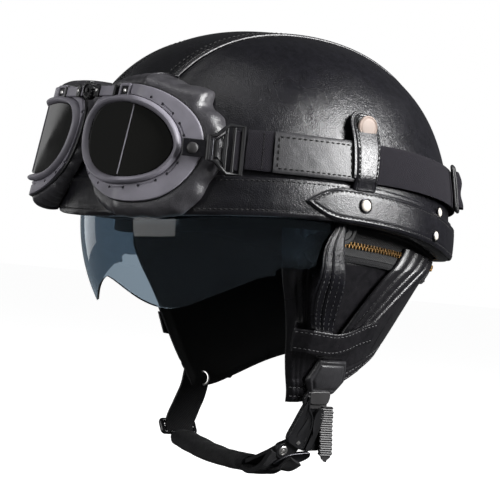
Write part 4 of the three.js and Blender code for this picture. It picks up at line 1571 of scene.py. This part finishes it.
for side, word in ((1, "left"), (-1, "right")):
    sheet(
            "ear_leather_" + word, 110, 110, ear_outer(side), LEATHER_SHINY, nodes=("ear_flap_" + word,),
            bevel=0.0
        )
    sheet("ear_lining_" + word, 50, 60, ear_inner(side), KNIT, bevel=0.0)
    rows = [
        surface_row(lambda t, o: ear_point(t, 1 - low / 92.0, 0.0 + o - 0.75, side), 90)
        for low in (3.4, 8.2)
    ]
    stitches("ear_stitching_" + word, rows, THREAD_LIGHT, pitch=3.4, length=2.2, radius=0.3)
sheet("neck_leather", 150, 50, guard_outer, LEATHER_SHINY, nodes=("neck_guard",), bevel=0.0)
sheet("neck_lining", 90, 30, guard_inner, KNIT, bevel=0.0)
stitches(
    "neck_stitching",
    [surface_row(lambda t, o: guard_point(t, 1 - low / 58.0, o - 0.7), 120) for low in (3.4, 8.2)],
    THREAD_LIGHT, pitch=3.4, length=2.2, radius=0.3
)


# ---- zippers: two woven tapes, brass teeth, a slider and a stitched leather edge
def zip_point(t, below, off, side):
    deg = lerp(-5, 89.7, t)
    z = brim_z(rad(deg)) - below + 6.6 * smooth(deg / 62)
    return on_flap(rad(deg), min(z, brim_z(rad(deg)) - 1.0), off, side)


def strip(lo, hi, inner, outer, puff=0.0):
    def make(side):
        def at(u, v, w):
            extra = puff * math.sin(math.pi * v) if w > 0.5 else 0.0
            return zip_point(u, lerp(lo, hi, v), lerp(inner, outer, w) + extra, side)

        return at

    return make


def zip_teeth(name, side):
    verts, faces = [], []
    pitch, long = 2.5, 1.65 * 116
    count = int(long / pitch)
    for k in range(count):
        for row in (0, 1):
            t = (k + 0.5 * row + 0.25) / count
            centre = 13.2 + (0.8 if row else -0.8)
            base = len(verts)
            half_t = 0.48 / long
            reach = 1.5
            for tall, wide, off in ((reach, half_t, 1.7), (reach * 0.8, half_t * 0.7, 3.0)):
                for dz, dt in ((-tall, -wide), (-tall, wide), (tall, wide), (tall, -wide)):
                    verts.append(zip_point(t + dt, centre + dz, off, side))
            box = [(0, 1, 2, 3), (4, 7, 6, 5), (0, 4, 5, 1), (1, 5, 6, 2), (2, 6, 7, 3), (3, 7, 4, 0)]
            one = outward(verts[base:], box)
            faces += [tuple(i + base for i in f) for f in one]
    ob = mesh_object(name, verts, faces, BRASS, flat=True)
    return finish_piece(ob, "helmet", bevel=0.12)


for side, word in ((1, "left"), (-1, "right")):
    sheet(
        "zip_tape_upper_" + word, 150, 10, strip(1.8, 12.7, 0.5, 1.7)(side), TAPE, nodes=("zipper_" + word,),
        bevel=0.0
    )
    sheet("zip_tape_lower_" + word, 150, 8, strip(13.6, 20.5, 0.5, 1.7)(side), TAPE, bevel=0.0)
    sheet("zip_edge_" + word, 150, 8, strip(20.8, 24.6, 1.0, 1.5, 0.5)(side), WEBBING, bevel=0.0)
    zip_teeth("zip_teeth_" + word, side)
    stitches(
        "zip_stitching_" + word, [surface_row(lambda t, o: zip_point(t, 22.9, 1.95 + o, side), 120)], THREAD,
        pitch=3.0, length=2.1, radius=0.32
    )

    # slider with a hanging pull, at the rear end of the zip
    def puller(u, v, w):
        t = 0.97 + lerp(-0.016, 0.016, u)
        return zip_point(
            t, lerp(10.3, 16.3, v),
            lerp(1.6, 4.3 - 1.2 * abs(2 * u - 1) ** 2 - 0.8 * abs(2 * v - 1) ** 2, w), side
        )

    sheet("zip_slider_" + word, 10, 10, puller, BRASS, bevel=0.3)
    loop = [
        zip_point(0.97 + 0.01 * math.sin(TAU * k / 28), 21.5 - 7.2 * math.cos(TAU * k / 28), 4.9, side)
        for k in range(28)
    ]
    tube("zip_pull_" + word, loop, 0.8, BRASS, closed=True, sides=8, up=Vector((side, 0, 0)))


# ---- strap legs, keeper and plate
LEG_FRONT = [(-66, -5), (-60, -8.2), (-34, -22), (0, -21.8), (6, -17), (15.5, -11)]
LEG_REAR = [(-66, 9), (-60, 7.7), (-34, 2.1), (-18, -3), (0, -6.7)]
LEG_X = [(-66, 84), (-50, 90), (-34, 101), (-22, 108.3), (0, 108.7), (15.5, 108.7)]


def leg_point(v, share, off, side):
    """share runs from the front edge (-1) to the rear edge (1)."""
    z = lerp(15.5, -66, v)
    y = lerp(eased(LEG_FRONT, z), eased(LEG_REAR, z), (share + 1) / 2)
    return Vector((side * (eased(LEG_X, z) + off), y, z))


def leg_half(v):
    z = lerp(15.5, -66, v)
    return (eased(LEG_REAR, z) - eased(LEG_FRONT, z)) / 2


def front_leg(side, lo, hi, layer, puff=0.5, top=0.0):
    """One layer of the leg between the shares lo and hi of its width."""

    def at(u, v, w):
        v = lerp(top, 1, v)
        a = lerp(lo, hi, u)
        off = layer
        if w > 0.5:
            edge = min(a - lo, hi - a) * leg_half(v)
            off = layer + 0.8 + puff * smooth(edge / 1.4)
        p = leg_point(v, a, 0, side)
        return leg_point(v, a, off + 0.15 * noise.noise(p * 0.1), side)

    return at


REAR_LEG_FRONT = [(0, 24.5), (0.33, 17.6), (0.66, 13.4), (1, 9.2)]


def rear_leg_point(v, share, off, side):
    deg = lerp(eased(REAR_LEG_FRONT, v), lerp(46.5, 21.5, v), share)
    z = min(lerp(lerp(3, -4.5, share), -58, v), brim_z(rad(deg)) - 3.4)
    return on_flap(rad(deg), z, off, side)


def rear_leg(side):
    def at(u, v, w):
        if w < 0.5:
            return rear_leg_point(v, u, 2.6, side)
        channels = abs(math.sin(math.pi * u * 4)) ** 0.6
        return rear_leg_point(v, u, 3.5 + 2.3 * channels, side)

    return at


def keeper_z(y):
    return -64 - 2.0 * smooth((y + 23) / 34) + 11.0 * smooth((y - 6) / 46)


def keeper_point(t, across, off, side):
    y = lerp(-19.5 - 0.2 * across, 46, t)
    lift = 9.2 - 7.4 * (1 - smooth((y + 20) / 10)) - 2.6 * smooth((y - 14) / 22)
    return flap_y(y, keeper_z(y) + across, lift + off, side)


def keeper(side):
    def at(u, v, w):
        a = 2 * v - 1
        off = 0.0
        if w > 0.5:
            off = (
                1.3 + 0.7 * smooth((1 - abs(a)) * 7.5 / 1.3)
                - 0.35 * math.exp(-((((1 - abs(a)) * 7.5 - 2.2) / 0.6) ** 2))
            )
        p = keeper_point(u, a * 7.5, off, side)
        return p + Vector((side, 0, 0)) * 0.3 * noise.noise(p * 0.09)

    return at


PLATE_HALF = [(0, 12.5), (0.06, 13.4), (0.56, 18), (0.62, 17.8), (0.97, 11.5), (1, 10.6)]


def plate_point(a, v, off, side):
    half = along(PLATE_HALF, v)
    return flap_y(20.5 + a * half, lerp(-76.5, -100, v), off, side)


def plate(side):
    def at(u, v, w):
        a = 2 * u - 1
        if w < 0.5:
            return plate_point(a, v, 0.8, side)
        edge = min((1 - abs(a)) * 13, v * 21.5, (1 - v) * 21.5)
        h = (
            2.4 + 0.9 * smooth(edge / 1.0) - 0.9 * math.exp(-(((edge - 2.9) / 0.7) ** 2))
            + 3.0 * (max(1 - abs(a) ** 2.4, 0) * max(1 - abs(2 * v - 1) ** 2.4, 0)) ** 0.5
        )
        return plate_point(a, v, h, side)

    return at


for side, word in ((1, "left"), (-1, "right")):
    sheet(
        "leg_under_" + word, 14, 60, front_leg(side, -1.0, 1.0, 0.0, 0.3), LEATHER,
        nodes=("strap_leg_front_" + word,), bevel=0.0
    )
    sheet("leg_middle_" + word, 20, 70, front_leg(side, -0.86, 0.94, 0.9, 0.4, 0.02), LEATHER, bevel=0.0)
    sheet("leg_top_" + word, 14, 70, front_leg(side, -0.25, 0.9, 1.8, 0.5, 0.02), LEATHER, bevel=0.0)
    spots = ((-0.72, 2.1), (-0.36, 2.1), (-0.1, 3.15), (0.36, 3.15), (0.76, 3.15))
    rows = [surface_row(lambda t, o: leg_point(lerp(0.2, 0.97, t), a, h + o, side), 60) for a, h in spots]
    stitches("leg_stitching_" + word, rows, THREAD_LIGHT, pitch=3.6, length=2.2, radius=0.27)
    sheet(
            "leg_channels_" + word, 64, 50, rear_leg(side), LEATHER_SHINY, nodes=("strap_leg_rear_" + word,),
            bevel=0.0
        )
    rows = [
        surface_row(lambda t, o: rear_leg_point(lerp(0.02, 0.98, t), a, 3.7 + o, side), 60)
        for a in (0.25, 0.5, 0.75)
    ]
    stitches("leg_channel_stitching_" + word, rows, THREAD_LIGHT, pitch=3.4, length=2.2, radius=0.3)
    sheet(
        "keeper_strap_" + word, 60, 16, keeper(side), LEATHER_SHINY, nodes=("strap_keeper_" + word,),
        bevel=0.0
    )
    rows = [surface_row(lambda t, o: keeper_point(t, a, 1.85 + o, side), 60) for a in (-5.3, 5.3)]
    stitches("keeper_stitching_" + word, rows, THREAD_LIGHT, pitch=3.2, length=2.2, radius=0.27)
    sheet(
        "plate_cover_" + word, 50, 50, plate(side), LEATHER_PATCH, nodes=("strap_plate_" + word,), bevel=0.0
    )


# ---------------------------------------------------------------- chin strap
def spline(points, n):
    """Open curve through the points."""
    ends = [points[0] * 2 - points[1]] + list(points) + [points[-1] * 2 - points[-2]]
    out = []
    for i in range(len(points) - 1):
        last = i == len(points) - 2
        out += [curve_point(ends[i : i + 4], k / n) for k in range(n + last)]
    return out


def flat_frame(t):
    """Sideways and outward directions of a strap that runs along t."""
    across = Vector((0, 1, 0))
    side = (across - t * across.dot(t)).normalized()
    return side, side.cross(t).normalized()


def ribbon(name, path, half, thick, material, nodes=(), wave=0.0):
    """Webbing along a path, with an uneven surface."""
    pts = spline(path, 14)
    n = len(pts) - 1

    def at(u, v, w):
        f = v * n
        i = min(int(f), n - 1)
        p = pts[i].lerp(pts[i + 1], f - i)
        side, out = flat_frame((pts[i + 1] - pts[i]).normalized())
        q = p + side * lerp(-half, half, u) + out * lerp(-thick / 2, thick / 2, w)
        return q + out * wave * noise.noise(q * 0.09)

    return sheet(name, 12, max(n * 2, 40), at, material, nodes=nodes, bevel=0.0)


def bar(name, a, b, half, thick, material, bevel):
    """Flat bar from a to b with rounded edges."""
    side, out = flat_frame((b - a).normalized())

    def at(u, v, w):
        return a.lerp(b, v) + side * lerp(-half, half, u) + out * lerp(-thick / 2, thick / 2, w)

    return sheet(name, 6, 24, at, material, bevel=bevel)


# The buckle's flat pieces lie in one leaning plane beside the jaw.
def leaning(y, z, h):
    return Vector((95.5 + 0.298 * z + h * 0.96, y - 2.2, z + 1.1 - h * 0.28))


def plaque(name, points, low, high, material, body="helmet", nodes=(), bevel=0.5, steps=6, dish=0.0):
    """Flat piece with a rounded outline of (y, z) points; dish lifts its edge."""
    edge = catmull(points, steps) if steps else points
    cy, cz = sum(p[0] for p in edge) / len(edge), sum(p[1] for p in edge) / len(edge)
    rings = (1.0, 0.86, 0.6, 0.3)
    n, verts, faces = len(edge), [], []
    for top in (True, False):
        for r in rings:
            for y, z in edge:
                q, k = lerp(cy, y, r), lerp(cz, z, r)
                h = (high + dish * smooth((r - 0.3) / 0.7)) if top else low
                verts.append(leaning(q, k, h))
    m = len(rings)
    for base in (0, m):
        half = []
        for j in range(m - 1):
            for i in range(n):
                w, near, far = (i + 1) % n, (base + j) * n, (base + j + 1) * n
                half.append((near + i, near + w, far + w, far + i))
        half.append(tuple((base + m - 1) * n + i for i in range(n)))
        faces += [tuple(reversed(f)) for f in half] if base else half
    faces += [(i, m * n + i, m * n + (i + 1) % n, (i + 1) % n) for i in range(n)]
    ob = mesh_object(name, verts, outward(verts, faces), material)
    return finish_piece(ob, body, nodes, bevel)


# Ratchet tongue: ribbed strap with a pointed end, doubled back from the grey loop.
plaque(
    "tongue_loop",
    [
        (10.4, -99.4), (18, -98.6), (26.0, -98.3), (27.4, -99.6), (27.6, -105.4), (26.4, -106.6),
        (14.6, -107.4), (12.6, -106.8), (10.0, -103.4)
    ],
    0.0, 3.4, GREY, steps=2, bevel=0.7
)
plaque(
    "tongue_step", [(12.6, -107.2), (27.2, -106.4), (27.8, -110.0), (13.2, -110.6)], 0.4, 2.4, GREY, steps=0,
    bevel=0.6
)


def tongue(u, v, w):
    y = lerp(27.2, 37.6, smooth(v * 0.9) * 0.6 + v * 0.4)
    half = 5.3 * (1.0 if v < 0.86 else max(1 - (v - 0.86) / 0.155, 0.1)) * (0.8 + 0.2 * smooth(v / 0.12))
    rib = 0.0
    if w > 0.5 and 0.04 < u < 0.96 and v < 0.9:
        rib = 0.55 * (0.5 + 0.5 * math.cos(TAU * v * 24))
    swing = 0.35 * math.cos(TAU * v * 12) * (abs(u - 0.5) > 0.4)
    return leaning(y + lerp(-half, half, u) + swing, lerp(-108.4, -146.5, v), lerp(2.4, 4.6, w) + rib)


sheet("tongue_strap", 20, 200, tongue, GREY, nodes=("ratchet_tongue",), bevel=0.0)

# Buckle: body, cheek, pressed lever with a hooked upper end, pivots and the curled lower lip.
plaque(
    "buckle_plate",
    [
        (14.0, -112), (24, -108.8), (32, -112), (33.6, -126), (33.4, -138.6), (26, -140.2), (16, -139.4),
        (12, -126)
    ],
    -1.6, 1.6, GLOSSY, nodes=("buckle_body",), steps=4
)
plaque(
    "buckle_cheek",
    [
        (22.4, -109.3), (18.6, -112.8), (19.0, -122.2), (20.6, -128.4), (17.8, -137.4), (20.4, -139.2),
        (24.6, -126), (24.8, -112)
    ],
    1.4, 4.6, BLACK, steps=4, dish=0.5
)
plaque(
    "lever_arm",
    [
        (7.6, -107.7), (9.8, -103.6), (11.0, -109.3), (16.0, -115.7), (17.6, -121.5), (17.0, -128.4),
        (14.9, -138.0), (7.1, -135.8), (0.8, -131.6), (3.2, -121.0)
    ],
    1.8, 4.8, GLOSSY, "buckle_lever", ("buckle_lever",), steps=5, dish=0.8
)
path = spline(
    [
        Vector((9.2, -101.5, 0)), Vector((10.0, -105.2, 0)), Vector((11.2, -109.8, 0)),
        Vector((15.8, -115.9, 0)), Vector((17.1, -122, 0)), Vector((16.4, -129, 0)),
        Vector((14.6, -137.4, 0))
    ],
    8
)
tube(
    "lever_edge", [leaning(q.x, q.y, 5.2) for q in path], 0.85, GLOSSY, "buckle_lever", sides=8,
    up=Vector((1, 0, 0))
)
plaque(
    "lever_slot",
    [(12.9, -116.2), (14.2, -118.6), (10.6, -127.6), (8.4, -129.8), (7.6, -128.2), (10.6, -121.4)], 5.0,
    5.35, BLACK, "buckle_lever", steps=3, bevel=0.0
)
plaque(
    "lever_hook", [(5.6, -103.8), (6.8, -100.6), (8.2, -98.6), (9.8, -99.2), (10.2, -104.2), (7.6, -108.0)],
    2.0, 4.6, GLOSSY, "buckle_lever", steps=4
)
a = leaning(10.0, -133.6, 5.0)
turned(
    "buckle_rivet_0", a, leaning(10, -133.6, 6) - leaning(10, -133.6, 5),
    [(0, 1.9), (0.5, 1.9), (0.9, 1.5), (1.1, 0.1)], STEEL, "buckle_lever", sides=4
)
plaque(
    "pivot_ear",
    [
        (-4.0, -137.0), (0.4, -134.4), (8.0, -132.0), (14.0, -135.6), (12.6, -140.2), (6.6, -143.6),
        (1.0, -146.0), (-3.6, -143.6)
    ],
    -0.6, 3.4, GLOSSY, steps=4
)
a = leaning(0.8, -140.2, 3.2)
turned(
    "buckle_pivot", a, leaning(0.8, -140.2, 4.2) - a,
    [(0, 3.5), (0.4, 3.5), (0.8, 3.1), (0.85, 2.3), (0.5, 2.1), (0.5, 1.4), (1.1, 1.2), (1.3, 0.1)], STEEL,
    sides=28
)
plaque(
    "lever_lip",
    [
        (-4.5, -149.2), (2.0, -144.6), (9.0, -142.0), (17.0, -141.0), (23.6, -140.9), (23.8, -143.4),
        (18.6, -146.8), (12.6, -148.4), (4.0, -149.0)
    ],
    0.6, 3.6, DARK_METAL, steps=4, dish=0.6
)
bar("plate_tail", Vector((66.6, 18, -93.5)), Vector((66.4, 18.5, -100.0)), 7.6, 2.4, WEBBING, bevel=0.5)

ribbon(
    "webbing_left",
    [Vector((30, -7, -154)), Vector((40, -6, -156)), Vector((49, -4, -151)), Vector((54.4, -1, -142.5))],
    9.4, 3.2, WEBBING, nodes=("chin_webbing_left",), wave=1.0
)
ribbon(
    "webbing_fold",
    [Vector((33, -6, -150)), Vector((41, -7, -147)), Vector((48, -3, -143.4)), Vector((52.6, 2, -139.8))],
    8.0, 2.6, WEBBING, wave=1.2
)
ribbon(
    "webbing_tail", [Vector((44, -2, -153)), Vector((53, 3, -152)), Vector((60, 8, -146.4))], 7.0, 2.0,
    WEBBING, wave=1.0
)
ribbon(
    "webbing_right",
    [
        Vector((-65.5, 6, -96)), Vector((-65, 3, -110)), Vector((-64, -3, -124)),
        Vector((-61.5, -8.5, -135)), Vector((-58, -9, -142))
    ],
    11, 2.2, WEBBING, nodes=("chin_webbing_right",), wave=0.5
)


# Padded sleeve round the chin strap, gathered at both ends.
def sleeve():
    a, b = Vector((-55, -9, -143.5)), Vector((31.5, -7, -151.5))
    axis = (b - a).normalized()
    out = Vector((axis.z, 0, -axis.x)).normalized() * -1
    n, m = 90, 48
    verts, faces = [], []
    for i in range(n + 1):
        t = i / n
        p = a.lerp(b, t) + Vector((0, 0, -3.2 * math.sin(math.pi * t)))
        end = min(t, 1 - t) * 88
        size = 0.82 + 0.14 * smooth(end / 4.0)
        for k in range(m):
            ang = TAU * k / m
            c, s = math.cos(ang), math.sin(ang)
            y = 12 * math.copysign(abs(c) ** 0.85, c)
            x = 6.3 * math.copysign(abs(s) ** 0.85, s)
            q = p + Vector((0, y * size, 0)) + out * x * size
            crease = (
                0.55 * noise.noise(Vector((q.x * 0.10, ang * 0.8, 3)))
                + 0.3 * math.sin(0.55 * q.x + 2 * math.sin(ang)) * smooth((10 - end) / 8)
            )
            q += (q - p).normalized() * crease
            verts.append(q)
    for i in range(n):
        for k in range(m):
            faces.append((i * m + k, i * m + (k + 1) % m, (i + 1) * m + (k + 1) % m, (i + 1) * m + k))
    faces += [tuple(range(m)), tuple(n * m + k for k in reversed(range(m)))]
    ob = mesh_object("chin_sleeve", verts, outward(verts, faces), WEBBING)
    finish_piece(ob, "helmet", ("chin_pad",))


sleeve()
SLIDE_A, SLIDE_B = Vector((-64.6, -9, -132.4)), Vector((-59.0, -9, -141.4))
along_slide = (SLIDE_B - SLIDE_A).normalized()
frame_pts = [
    (SLIDE_A + SLIDE_B) / 2 + along_slide * p + Vector((0, q, 0)) for p,
    q in rounded_rectangle(4.4, 13.4, 1.6, 6)
]
tube(
    "chin_slide_frame", frame_pts, 1.9, GLOSSY, closed=True, sides=10, nodes=("chin_slider",),
    up=Vector((1, 0, 0.5))
)
tube(
    "chin_slide_bar", [(SLIDE_A + SLIDE_B) / 2 + Vector((0.4, q, 0)) for q in (-13, 0, 13)], 1.3, GLOSSY,
    sides=10, up=Vector((1, 0, 0))
)
ring = [
    Vector((-57.5 + 4.4 * math.cos(a), 6 + 1.5 * math.cos(a), -101 + 4.6 * math.sin(a)))
    for a in (TAU * k / 28 for k in range(28))
]
tube("far_ring", ring, 0.9, STEEL, closed=True, sides=8, up=Vector((0, 1, 0)))
